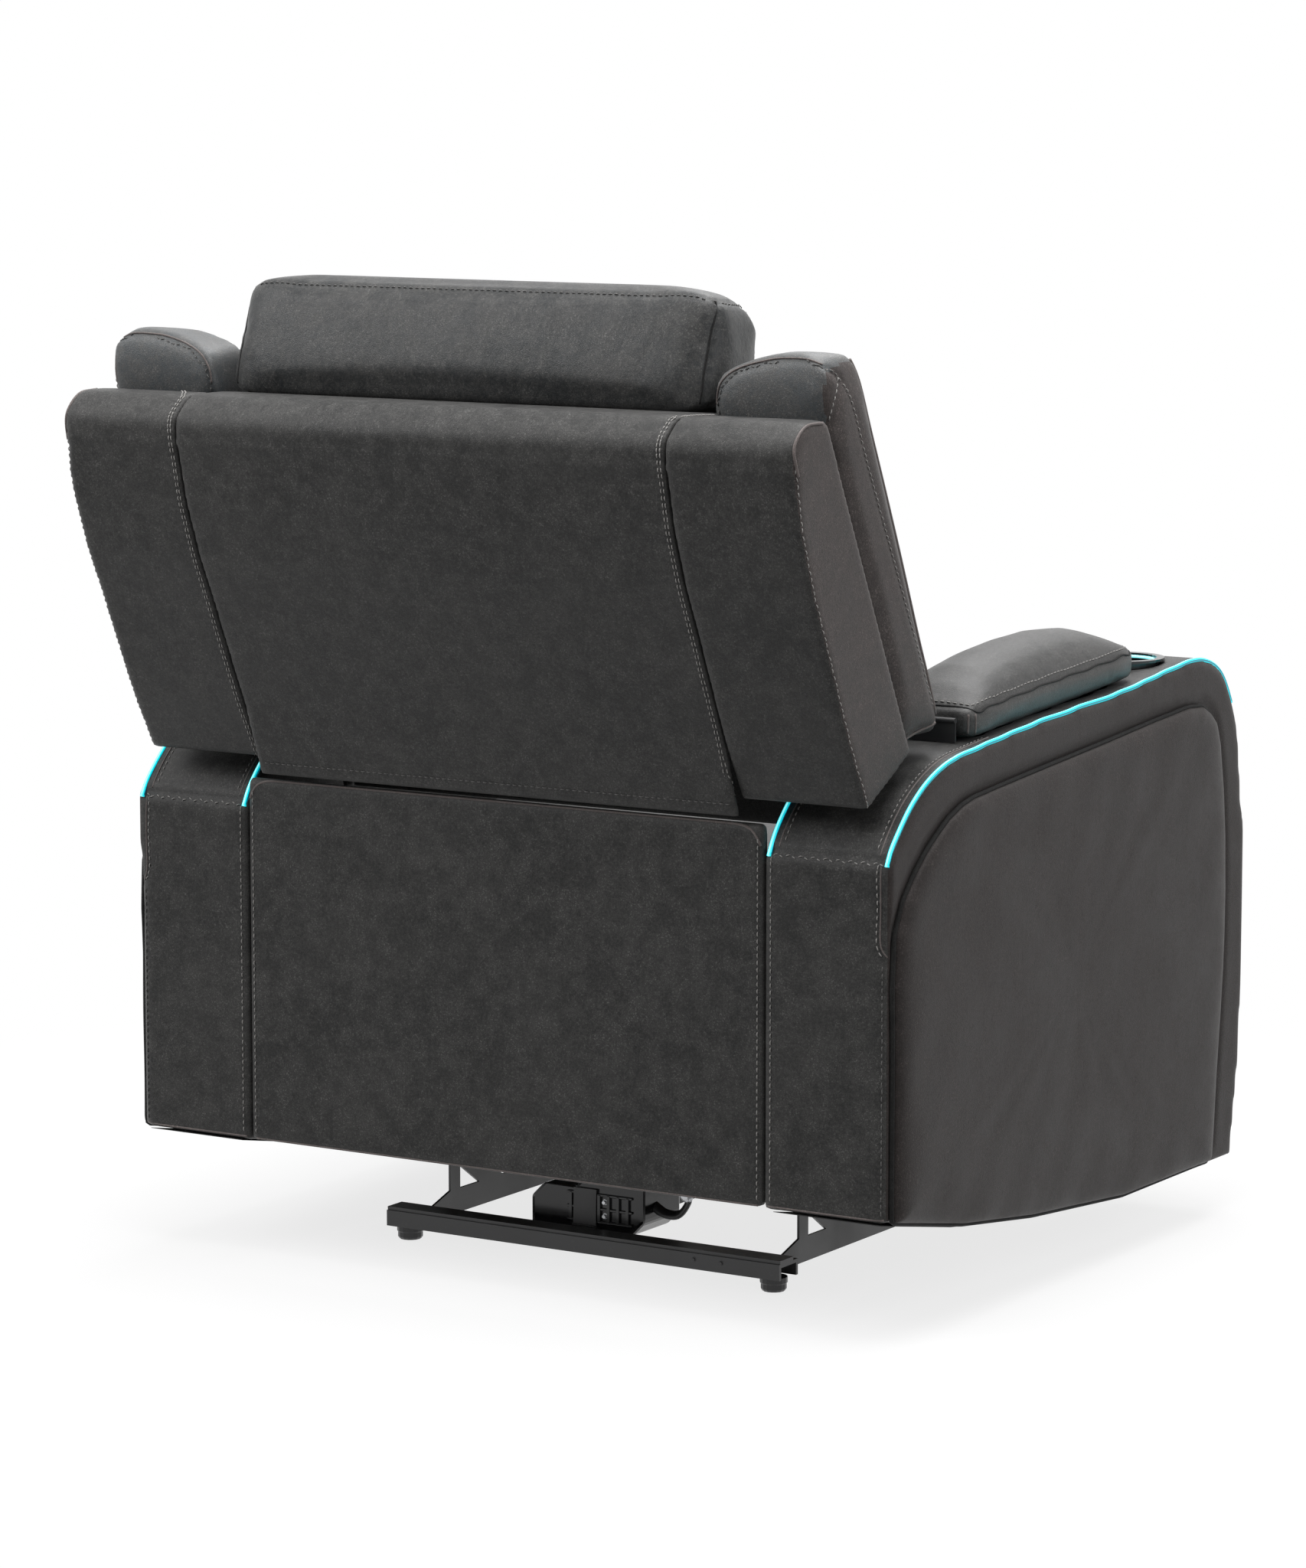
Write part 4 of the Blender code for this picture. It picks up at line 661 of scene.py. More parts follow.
def on_back(x, up, rear):
    """A place on the leaning back: across, up along it from the pivot, and to the rear."""
    return (
        x,
        PIVOT_Y + up * math.sin(LEAN) + rear * math.cos(LEAN),
        PIVOT_Z + up * math.cos(LEAN) - rear * math.sin(LEAN),
    )


def rear_reach(up):
    """How far the swelling rear of the back stands behind the pivot, at a height along it."""
    return float(np.interp(up, REAR_UPS, REAR_REACHES))


def painted(item, surface, test=None, other=None):
    """Gives a skin its leather, and another one to the faces that a test picks."""
    item.data.materials.clear()
    item.data.materials.append(surface)
    if other:
        item.data.materials.append(other)
        for face in item.data.polygons:
            face.material_index = 1 if test(face.center, face.normal) else 0
    return item


FINE_GRAIN = 0.0011


def finishes():
    """Every finish: the function that makes it and its values, from the user's colours."""
    scene = bpy.context.scene
    hide, lamp, hard = scene.recliner_leather, scene.recliner_lights, scene.recliner_frame_finish
    grain = hide.grain
    dark, brown, cool, yarn, faded, dusty, glow, edge, core, steel, plastic, cloth, metal = (
        tuple(colour)
        for colour in (
            hide.back_colour, hide.side_colour, hide.sheen_colour, hide.thread_colour,
            hide.back_worn, hide.side_worn, lamp.glow, lamp.edge, lamp.core,
            hard.steel, hard.plastic, hard.cloth, hard.metal,
        )
    )
    return {
        "charcoal_leather": (leather, dark, faded, 0.47, grain),
        "brown_grey_leather": (leather, brown, dusty, 0.52, grain, 0.35),
        # A darker copy of the brown-grey leather: painted shade on the side panels and the arms'
        # outer sides
        "panel_leather": (leather, tone(brown, 0.62), tone(dusty, 0.5), 0.48, grain, 0.5, 0.14),
        "soft_leather": (leather, dark, faded, 0.40, grain, 1.0, 0.45),
        "sheen_leather": (leather, tone(cool, 0.6), faded, 0.36, grain, 3.0, 0.32),
        # A paler copy of the pillow leather for the bolsters and their ears: painted highlight
        "ear_leather": (leather, tone(cool, 2.2), tone(faded, 1.5), 0.38, grain, 1.0, 0.5),
        # Paler than any leather on the chair: the welts are real, and their pale colour paints the
        # highlight along the raised seams
        "welt_leather": (leather, tone(brown, 2.4), tone(dusty, 1.6), 0.40, FINE_GRAIN, 0.3),
        # Near-black leather for tubes laid in grooves and seams: painted shade of the groove
        "groove_leather": (leather, (0.004, 0.004, 0.004), dark, 0.7, FINE_GRAIN, 0.3, 0.10),
        "grey_thread": (thread, yarn),
        "dark_thread": (thread, tone(yarn, 0.22)),
        "lit_strip": (light_strip, glow, edge, core, lamp.strength),
        "lit_core": (light_strip, core, glow, core, lamp.strength),
        "black_steel": (coated_steel, steel),
        "black_plastic": (moulded, plastic),
        "gloss_plastic": (moulded, plastic, 0.16),
        "frame_plywood": (plywood,),
        "dust_cloth": (cambric, cloth),
        "plated_metal": (brushed_metal, metal),
    }


def look(kind):
    """The finish of that kind, made on first use."""
    found = bpy.data.materials.get(kind)
    if found:
        return found
    make, *values = finishes()[kind]
    return make(kind, *values)


def underside(node, places):
    """The underside of a CAD node at the given places across and along."""
    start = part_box(node)[0].z - 0.1
    return cast([(x, y, start) for x, y in places], [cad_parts[node]], (0, 0, 1))


def dressed(node, kind):
    """Gives a carried CAD node a finish of the scene's own."""
    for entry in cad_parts[node].material_slots:
        entry.material = look(kind)


def sewn(name, path, items, body, kind="grey_thread", lean=0.0):
    """A row of stitches that rides with the pieces it is sewn to."""
    hide = bpy.context.scene.recliner_leather
    sizes = hide.stitch, hide.stitch_gap, hide.thread_radius
    fitted(stitches(name, path, items, look(kind), *sizes, lean), body, "leather")


WELT_PASSES = 12


def welted(name, path, items, body, radius, lift=0.0004, kind="welt_leather", closed=False):
    """A leather welt laid on a seam, its path smoothed. Its default pale leather paints a highlight
    along the seam.
    """
    line, _ = laid(path, items, lift)
    for _ in range(WELT_PASSES):
        near = (np.roll(line, 1, axis=0) + np.roll(line, -1, axis=0)) / 2
        if not closed:
            near[0], near[-1] = line[0], line[-1]
        line = (line + near) / 2
    fitted(tube(name, line, radius, look(kind), closed), body, "leather")


def shifted(path, x=0.0, y=0.0, z=0.0):
    """A path moved by an offset."""
    return [(point[0] + x, point[1] + y, point[2] + z) for point in path]


def mirrored(side, points):
    """Points given for the positive side, turned to the side that is asked for."""
    return [(SIDES[side] * x, y, z) for x, y, z in points]


# The leaning back


def back_seam(x):
    """The rear seam beside the middle panel, from the shelf over the ridge and down to the lip."""
    turned = 1 if x > 0 else -1
    shelf = (
        (0.028, 0.655, 0.040), (0.012, 0.655, 0.060), (0, 0.655, 0.085), (0, 0.652, 0.108),
        (0, 0.640, 0.122),
    )
    over = [on_back(x + turned * out, up, rear) for out, up, rear in shelf]
    return over + [on_back(x, up, rear_reach(up) + 0.004) for up in np.linspace(0.620, 0.205, 60)]


class RECLINER_OT_back_shell(bpy.types.Operator):
    """Covers the back's outer shell and sews its hem; the long rear seams are sewn with the wings"""

    bl_idname = "recliner.back_shell"
    bl_label = "Back shell"

    def execute(self, context):
        shell = skin("back_shell", "back_shell_cover", 0.0045, 4)
        painted(shell, look("charcoal_leather"))
        fitted(shell, "back", "leather", "back_shell")
        fold = [on_back(x, FOLD_UP, rear_reach(FOLD_UP)) for x in np.linspace(-0.306, 0.306, 140)]
        dent(shell, fold, 0.010, -0.0015)
        bottom = [on_back(x, 0.2005, 0.128) for x in np.linspace(-0.300, 0.300, 60)]
        dent(shell, shifted(bottom, z=0.012), 0.006, 0.0012)
        sewn("back_hem_thread", shifted(bottom, z=0.017), [shell], "back", "dark_thread")
        return {"FINISHED"}


class RECLINER_OT_back_wings(bpy.types.Operator):
    """Covers the back's side wings, with sewn edges and the arched welt on each side"""

    bl_idname = "recliner.back_wings"
    bl_label = "Back wings"
    # Heights along the back and distances to the rear
    CORNER = ((0.600, 0.122), (0.625, 0.118), (0.640, 0.100), (0.648, 0.080), (0.640, 0.060))
    ARCH = (
        (0.600, 0.120), (0.634, 0.119), (0.653, 0.104),
        (0.655, 0.086), (0.645, 0.066), (0.634, 0.050),
    )

    def execute(self, context):
        shell = bpy.data.objects["back_shell_cover"]
        for side, turned in SIDES.items():
            wing = skin(f"back_wing_{side}", f"back_wing_cover_{side}", 0.0045, 3)
            painted(
                wing,
                look("charcoal_leather"),
                lambda middle, normal: normal.x * turned > 0.62,
                look("brown_grey_leather"),
            )
            fitted(wing, "back", "leather", f"back_wing_{side}")
            corner = [on_back(turned * WING_HALF, up, rear) for up, rear in self.CORNER]
            softened(wing, walk(corner, 0.004), 0.030, 14)
            across = np.linspace(0.312, 0.452, 40)
            fold = [on_back(turned * x, FOLD_UP, rear_reach(FOLD_UP)) for x in across]
            dent(wing, fold, 0.010, -0.0015)
            ups = np.linspace(0.215, 0.612, 90)
            edge = [on_back(turned * 0.466, up, rear_reach(up) + 0.002) for up in ups]
            dent_under(wing, edge, 0.005, 0.0010)
            inner = [(x - turned * 0.002, y - 0.0042, z) for x, y, z in edge]
            sewn(f"wing_edge_thread_{side}", inner, [wing], "back")
            arch = curve_through([on_back(turned * 0.468, up, rear) for up, rear in self.ARCH])
            welted(f"wing_arch_welt_{side}", arch, [wing], "back", 0.0016, 0.0008)
            seam = walk(back_seam(turned * SHELL_HALF), 0.003)
            for name, gap in (("outer", 0.0035), ("inner", 0.0075)):
                row = shifted(seam, x=gap)
                sewn(f"back_seam_thread_{name}_{side}", row, [shell, wing], "back")
        return {"FINISHED"}


def channel(name, item, path, body, aside, width, depth, rows=(1, -1)):
    """A sewn channel: the leather pulled in along a path, with stitches on its sides."""
    line, _ = laid(path, [item])
    dent(item, line, width, depth)
    for number, turned in enumerate(rows):
        row = [tuple(spot + turned * np.array(aside)) for spot in line]
        sewn(f"{name}_thread_{number + 1}", row, [item], body)


class RECLINER_OT_bolsters(bpy.types.Operator):
    """Covers the padded shoulder bolsters, with their welts, topstitching and ear seams"""

    bl_idname = "recliner.bolsters"
    bl_label = "Shoulder bolsters"
    # Seams of the left bolster: over the ear, down the side, and the split in the ear's end
    EAR = (
        (0.317, 0.425, 0.975), (0.321, 0.425, 0.998), (0.338, 0.425, 1.019), (0.362, 0.425, 1.033),
        (0.400, 0.425, 1.041), (0.432, 0.425, 1.040), (0.450, 0.410, 1.032),
    )
    FRONT = (
        (0.457, 0.394, 1.0190), (0.457, 0.377, 0.9960), (0.457, 0.346, 0.9322),
        (0.457, 0.302, 0.8504), (0.457, 0.247, 0.7501), (0.457, 0.192, 0.6600),
    )
    SPLIT = ((0.456, 0.392, 1.020), (0.457, 0.404, 0.996), (0.456, 0.412, 0.972))
    FOOT = ((0.224, -0.004), (0.221, -0.030), (0.219, -0.052), (0.228, -0.066))

    def execute(self, context):
        for side, turned in SIDES.items():
            pad = skin(f"back_bolster_{side}", f"bolster_cover_{side}", 0.005, 5, 0.0012)
            filled(pad, 0.0028, 2.5, 12)
            turned_in(pad, (0.0, -1.0, 0.0), (0.0, 0.0, 1.0), 0.062, 0.015)
            turned_in(pad, (turned, 0.0, 0.0), (0.0, 0.30, 0.954), 0.040, 0.032)
            turned_in(pad, (-turned, 0.0, 0.0), (0.0, 0.30, 0.954), 0.060, 0.042)
            smoothed(pad, 4)
            # The bolster takes the paler copy of the pillow leather, a painted highlight, and the
            # brown-grey leather on its outer side
            painted(
                pad,
                look("ear_leather"),
                lambda middle, normal: middle.x * turned > 0.448,
                look("brown_grey_leather"),
            )
            lines = (self.EAR, self.FRONT, self.SPLIT)
            ear, front, split = (mirrored(side, line) for line in lines)
            arch = curve_through(ear + front[:1], 0.003)
            run = curve_through(ear[-1:] + front, 0.003)
            for path, deep in ((arch, 0.0014), (run, 0.0012), (walk(split, 0.003), 0.0016)):
                dent_under(pad, path, 0.005, deep)
            fitted(pad, "back", "leather", f"back_bolster_{side}")
            sewn(f"ear_thread_{side}", arch, [pad], "back", "dark_thread")
            rim = [
                (x + turned * 0.004 * (abs(x) - 0.38) / 0.06, y + 0.004, z + 0.0085)
                for x, y, z in curve_through(ear, 0.003)
            ]
            welted(f"ear_rim_welt_{side}", rim, [pad], "back", 0.0011, 0.0002)
            sewn(f"bolster_thread_{side}", run, [pad], "back")
            sewn(f"ear_split_thread_{side}", shifted(split, y=0.003), [pad], "back")
            for name, x, top in (("", WING_HALF, 0.672), ("_inner", 0.310, 0.650)):
                ups = np.linspace(0.236, top, 60)
                edge = [on_back(turned * x, up, -0.074 + 0.030 * (up - 0.24)) for up in ups]
                welted(f"bolster{name}_welt_{side}", edge, [pad], "back", 0.0019)
            foot = curve_through([on_back(turned * WING_HALF, up, rear) for up, rear in self.FOOT])
            welted(f"bolster_foot_welt_{side}", foot, [pad], "back", 0.0016)
        return {"FINISHED"}


def head_place(x, height, forward):
    """A place on the headrest by its world height and its distance ahead of the back."""
    up = (height - PIVOT_Z - forward * math.sin(LEAN)) / math.cos(LEAN)
    return on_back(x, up, -forward)


class RECLINER_OT_headrest(bpy.types.Operator):
    """Fills the headrest pillow and sews its gussets and edges"""

    bl_idname = "recliner.headrest"
    bl_label = "Headrest"
    # The left end's rear seam, and its front seam by width, height and distance ahead
    GUSSET = (
        (0.2945, 0.366, 1.092), (0.2975, 0.3896, 1.046),
        (0.301, 0.406, 1.008), (0.306, 0.415, 0.985),
    )
    RIM = (
        (0.297, 1.094, 0.056), (0.297, 1.0935, 0.100), (0.297, 1.090, 0.128),
        (0.297, 1.075, 0.139), (0.300, 1.040, 0.136), (0.303, 1.010, 0.120),
    )

    def execute(self, context):
        pillow = skin("headrest", "headrest_cover", 0.0055, 5, 0.0015)
        filled(pillow, 0.0036, 2.5, 12)
        painted(pillow, look("sheen_leather"))
        values = coordinates(pillow)
        lift, back = values[:, 2] - PIVOT_Z, values[:, 1] - PIVOT_Y
        above = lift * math.cos(LEAN) + back * math.sin(LEAN)
        tuck = np.clip((0.665 - above) / 0.030, 0, 1) ** 2 * 0.006
        values[:, 1] -= tuck * math.sin(LEAN)
        values[:, 2] -= tuck * math.cos(LEAN)
        move_to(pillow, values)
        upward, ahead, behind = (0.0, -0.286, 0.958), (0.0, -0.958, -0.286), (0.0, 0.958, 0.286)
        turned_in(pillow, ahead, upward, 0.095, 0.080)
        turned_in(pillow, behind, upward, 0.016, 0.020)
        ends_rounded(pillow, 0.046, (0.345, 1.030))
        smoothed(pillow, 4)
        top = [head_place(x, 1.0975, 0.045) for x in np.linspace(-0.285, 0.285, 120)]
        dent_under(pillow, top, 0.005, 0.0012)
        ends = {}
        for side, turned in SIDES.items():
            gusset = curve_through(mirrored(side, self.GUSSET), 0.003)
            rim = [head_place(turned * x, up, forward) for x, up, forward in self.RIM]
            rim = curve_through(rim, 0.003)
            ends[side] = (gusset, rim)
            dent_under(pillow, gusset, 0.006, 0.0024)
            dent_under(pillow, rim, 0.005, 0.0014)
        front = [head_place(x, 1.045, 0.150) for x in np.linspace(-0.285, 0.285, 120)]
        dent_under(pillow, front, 0.007, 0.0022)
        fitted(pillow, "back", "leather", "headrest")
        sewn("headrest_top_thread", top, [pillow], "back", "dark_thread")
        for name, gap in (("upper", 0.005), ("lower", -0.005)):
            sewn(f"headrest_front_thread_{name}", shifted(front, z=gap), [pillow], "back")
        for side, (gusset, rim) in ends.items():
            # The gusset welt is near-black: painted shade in the seam
            name = f"headrest_gusset_welt_{side}"
            welted(name, gusset, [pillow], "back", 0.0012, 0.0, "groove_leather")
            sewn(f"headrest_end_thread_{side}", rim, [pillow], "back", "dark_thread")
        return {"FINISHED"}


class RECLINER_OT_back_cushions(bpy.types.Operator):
    """Fills the lumbar and upper back cushions and sews their channels"""

    bl_idname = "recliner.back_cushions"
    bl_label = "Back cushions"

    def execute(self, context):
        for node, low, high, ahead in (
            ("lumbar_cushion", 0.150, 0.330, 0.160),
            ("upper_back_cushion", 0.330, 0.590, 0.135),
        ):
            pad = skin(node, f"{node}_cover", 0.0065, 6, 0.006)
            filled(pad, 0.012)
            painted(pad, look("soft_leather"))
            middle = (low + high) / 2
            across = [on_back(x, middle, -ahead) for x in np.linspace(-0.270, 0.270, 120)]
            channel(f"{node}_middle", pad, across, "back", (0, 0, 0.007), 0.022, 0.009)
            for turned in (1, -1):
                along = [
                    on_back(turned * 0.272, up, -ahead)
                    for up in np.linspace(low + 0.022, high - 0.022, 60)
                ]
                name = f"{node}_{'left' if turned > 0 else 'right'}"
                channel(name, pad, along, "back", (0.006, 0, 0), 0.010, 0.003, (-turned,))
            fitted(finer(pad), "back", "leather", node)
        return {"FINISHED"}


class RECLINER_OT_seat_cushion(bpy.types.Operator):
    """Fills the seat cushion, with its boxed front, side seams and welt"""

    bl_idname = "recliner.seat_cushion"
    bl_label = "Seat cushion"

    def execute(self, context):
        low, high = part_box("seat_cushion")
        pad = skin("seat_cushion", "seat_cushion_cover", 0.0075, 6, 0.005)
        filled(pad, 0.010)
        painted(pad, look("soft_leather"))
        front, rear, half = low.y, high.y, high.x
        top = high.z + 0.02
        side = [(0.050, rear - 0.030), (0.045, (front + rear) / 2), (0.050, front + 0.060)]
        loop = [(half - inset, y, top) for inset, y in side] + [(0.0, front + 0.052, top)]
        loop += [(-half + inset, y, top) for inset, y in reversed(side)]
        seam = cast(curve_through(loop), [pad], (0, 0, -1))
        dent(pad, seam, 0.016, 0.005)
        widths = np.linspace(-half + 0.052, half - 0.052, 120)
        cross = cast([(x, front + 0.20, top) for x in widths], [pad], (0, 0, -1))
        dent(pad, cross, 0.018, 0.005)
        widths = np.linspace(-half + 0.012, half - 0.012, 120)
        boxing = cast([(x, front - 0.05, low.z + 0.052) for x in widths], [pad], (0, 1, 0))
        dent(pad, boxing, 0.007, 0.0025)
        fitted(finer(pad), "chair_body", "leather", "seat_cushion")
        for name, path, aside in (
            ("outer", seam, (0, -0.0055, 0)),
            ("inner", seam, (0, 0.0055, 0)),
            ("cross_front", cross, (0, -0.006, 0)),
            ("cross_rear", cross, (0, 0.006, 0)),
            ("boxing", boxing, (0, 0, 0.006)),
        ):
            sewn(f"seat_thread_{name}", shifted(path, *aside), [pad], "chair_body")
        welted("seat_front_welt", boxing, [pad], "chair_body", 0.0022, 0.0006)
        return {"FINISHED"}


class RECLINER_OT_footrest_pad(bpy.types.Operator):
    """Fills the footrest pad and sews its border and middle channel"""

    bl_idname = "recliner.footrest_pad"
    bl_label = "Footrest pad"

    def execute(self, context):
        low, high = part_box("footrest_pad")
        pad = skin("footrest_pad", "footrest_cover", 0.0065, 6, 0.005)
        filled(pad, 0.009)
        painted(pad, look("soft_leather"))
        half, front, level = high.x, low.y - 0.03, (low.z + high.z) / 2
        side = [(0.040, high.z - 0.045), (0.045, level), (0.040, low.z + 0.045)]
        loop = [(half - inset, front, z) for inset, z in side] + [(0.0, front, low.z + 0.040)]
        loop += [(-half + inset, front, z) for inset, z in reversed(side)]
        loop = curve_through(loop + [(0.0, front, high.z - 0.040)], closed=True)
        seam = cast(loop, [pad], (0, 1, 0))
        dent(pad, seam, 0.012, 0.004)
        widths = np.linspace(-half + 0.048, half - 0.048, 120)
        cross = cast([(x, front, level) for x in widths], [pad], (0, 1, 0))
        dent(pad, cross, 0.020, 0.006)
        fitted(finer(pad), "footrest", "leather", "footrest_pad")
        sewn("footrest_border_thread", seam, [pad], "footrest")
        for name, gap in (("upper", 0.006), ("lower", -0.006)):
            sewn(f"footrest_cross_thread_{name}", shifted(cross, z=gap), [pad], "footrest")
        return {"FINISHED"}


# The base


def around(node, x, start, end, count, middle=(-0.10, 0.45)):
    """A node's outline at one width, seen from its middle, between two angles in degrees."""
    work = bmesh.new()
    work.from_mesh(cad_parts[node].data)
    tree = BVHTree.FromBMesh(work)
    work.free()
    found = []
    for angle in np.radians(np.linspace(start, end, count)):
        way = Vector((0, math.cos(angle), math.sin(angle)))
        place, _, _, _ = tree.ray_cast(Vector((x, *middle)) + way * 2.0, -way)
        if place is not None:
            found.append(tuple(place))
    return walk(found, 0.004)


class RECLINER_OT_arms(bpy.types.Operator):
    """Covers the console arms and sews their rear rolls, edges and top seams"""

    bl_idname = "recliner.arms"
    bl_label = "Arms"
    # The left arm's rear outer seam
    EDGE = (
        (0.474, 0.343, 0.516), (0.473, 0.343, 0.500), (0.474, 0.343, 0.470),
        (0.473, 0.343, 0.440), (0.4745, 0.343, 0.426), (0.482, 0.341, 0.417),
    )

    # The front wall's face at its foot, and how far it leans ahead for each metre up
    TOE_Y, TOE_Z, TOE_LEAN = -0.4727, 0.0646, 0.1637

    def toe(self, side, turned):
        """The thin lower end of the arm's front wall, which the even skin is too coarse for."""
        inner, outer = turned * (ARM_INNER + 0.0020), turned * (ARM_HALF - 0.0020)
        points, heights = [], np.linspace(0.0652, 0.1500, 18)
        for z in heights:
            face = self.TOE_Y - self.TOE_LEAN * (z - self.TOE_Z)
            face = face + 0.0008 * np.clip((z - 0.11) / 0.03, 0, 1)
            eased = ((0, 0.003), (0, 0.0014), (0.01, 0.0004), (0.03, 0))
            ends = [(inner * (1 - share) + outer * share, set_back) for share, set_back in eased]
            ends += [(inner + outer - x, set_back) for x, set_back in reversed(ends)]
            points += [(x, face + set_back, z) for x, set_back in ends]
        shape = (0, len(ends), len(heights))
        faces = ends_of(*shape) + ringed(*shape)
        wall = link(f"arm_toe_{side}", mesh_of(f"arm_toe_{side}", points, faces))
        painted(wall, look("charcoal_leather"))
        fitted(wall, "chair_body", "leather")

    def execute(self, context):
        for side, turned in SIDES.items():
            node = f"arm_{side}"
            arm = skin(node, f"arm_cover_{side}", 0.0055, 3)
            # The arm's outer side takes the darker copy of the side leather, a painted shade
            painted(
                arm,
                look("charcoal_leather"),
                lambda middle, normal: middle.x * turned > ARM_HALF - 0.0058 and middle.y < 0.3385,
                look("panel_leather"),
            )
            widths = np.linspace(0.336, ARM_HALF - 0.007, 60)
            roll = [(turned * x, ARM_REAR + 0.004, ROLL_SEAM) for x in widths]
            dent_under(arm, roll, 0.008, 0.0026)
            edge = curve_through(mirrored(side, self.EDGE), 0.003)
            dent_under(arm, edge, 0.005, 0.0016)
            border = around(node, turned * 0.4800, 12, 175, 400)
            border[:, 0] = turned * (ARM_HALF - 0.001)
            softened(arm, border, 0.020, 10)
            groove = [(turned * ARM_HALF, y, z) for _, y, z in panel_rim(side) if z > 0.09]
            dent(arm, groove, 0.017, 0.0042)
            self.toe(side, turned)
            fitted(arm, "chair_body", "leather", node)
            roll = shifted(roll, z=-0.0028)
            sewn(f"arm_roll_thread_{side}", roll, [arm], "chair_body", lean=0.45)
            sewn(f"arm_edge_thread_{side}", shifted(edge, x=-turned * 0.004), [arm], "chair_body")
            heights = np.linspace(0.515, SEAM_LOW, 120)
            inner = [(turned * 0.3415, ARM_REAR + 0.004, z) for z in heights]
            sewn(f"arm_rear_thread_{side}", inner, [arm], "chair_body")
            heights = np.linspace(0.408, SEAM_LOW, 90)
            lower = [(turned * (ARM_HALF - 0.0085), ARM_REAR + 0.004, z) for z in heights]
            sewn(f"arm_corner_thread_{side}", lower, [arm], "chair_body", "dark_thread")
            welted(f"arm_edge_welt_{side}", edge, [arm], "chair_body", 0.0008, 0.0002)
            for name, x, rim in (("outer", 0.4640, 0.4690), ("inner", 0.3530, 0.3480)):
                line = around(node, turned * rim, 9.5, 40, 200)
                welted(f"arm_top_rim_{name}_{side}", line, [arm], "chair_body", 0.0009, 0.0002)
                row = around(node, turned * x, 9.5, 40, 160)
                row = [point for point in row if point[2] > ROLL_SEAM + 0.004]
                dent(arm, row, 0.0045, 0.0010)
                sewn(f"arm_top_thread_{name}_{side}", row, [arm], "chair_body")
            for name, x in (("front", 0.4675), ("front_inner", 0.3505)):
                front = around(node, turned * x, 152, 205, 200)
                sewn(f"arm_{name}_thread_{side}", front, [arm], "chair_body")
            widths = np.linspace(0.338, ARM_HALF - 0.005, 40)
            hem = [(turned * x, ARM_REAR + 0.001, HEM_UP) for x in widths]
            welted(f"arm_hem_welt_{side}", hem, [arm], "chair_body", 0.0013, 0.0)
        return {"FINISHED"}


def panel_rim(side):
    """The side panel's outline, its front edge set back to where it is sewn."""
    rim = np.array(around(f"side_panel_{side}", SIDES[side] * (ARM_HALF + 0.0025), -97, 262, 1400))
    ahead = rim[:, 1] < -0.30
    rim[ahead, 1] = -0.30 + (rim[ahead, 1] + 0.30) * 0.828
    return walk(rim, 0.0035, closed=True)


class RECLINER_OT_side_panels(bpy.types.Operator):
    """Fills the raised side panels, with rounded shoulders and a slight crown"""

    bl_idname = "recliner.side_panels"
    bl_label = "Side panels"
    # Distance in from the rim, and height above the arm's side
    PROFILE = (
        (0.0014, -0.0040), (0.0014, 0.0010), (0.0018, 0.0026), (0.0028, 0.0042),
        (0.0046, 0.0057), (0.0072, 0.0071), (0.0106, 0.0083), (0.0148, 0.0094),
        (0.0200, 0.0103), (0.0265, 0.0110), (0.0350, 0.0115), (0.0460, 0.0119),
        (0.0620, 0.0121), (0.0850, 0.0123), (0.1150, 0.0124), (0.1500, 0.0125),
    )

    def execute(self, context):
        for side, turned in SIDES.items():
            rim = panel_rim(side)
            middle = (rim.max(0) + rim.min(0)) / 2
            spokes = rim - middle
            reach = np.linalg.norm(spokes, axis=1)[:, None]
            points, count = [], len(rim)
            for inward, height in self.PROFILE:
                ring = middle + spokes * (1 - inward / reach)
                ring[:, 0] = turned * (ARM_HALF + height)
                points += ring.tolist()
            faces = [tuple(range(count))] + ringed(0, count, len(self.PROFILE))
            points.append((turned * (ARM_HALF + self.PROFILE[-1][1]), middle[1], middle[2]))
            last, crown = (len(self.PROFILE) - 1) * count, len(points) - 1
            for corner in range(count):
                faces.append((last + corner, last + (corner + 1) % count, crown))
            name = f"side_panel_cover_{side}"
            panel = link(name, mesh_of(name, points, faces))
            values = coordinates(panel)
            depth = 1 - np.abs(directions(panel)[:, 0])
            _, y, z = values.T
            wave = 0.0006 * np.sin(y * 47.0 + 1.3) * np.sin(z * 39.0 + y * 21.0)
            values[:, 0] += turned * wave * (1 - depth)
            move_to(panel, values)
            # The panel takes the darker copy of the side leather, a painted shade
            painted(panel, look("panel_leather"))
            fitted(panel, "chair_body", "side_leather", f"side_panel_{side}")
            # A near-black tube sunk in the groove round the panel: painted shade, where the real
            # groove is only in shadow
            sunk = [(turned * (ARM_HALF - 0.0012), y, z) for _, y, z in rim[::2]]
            name = f"side_panel_groove_shade_{side}"
            shade_tube = tube(name, sunk, 0.0026, look("groove_leather"), closed=True)
            fitted(shade_tube, "chair_body", "side_leather")
        return {"FINISHED"}


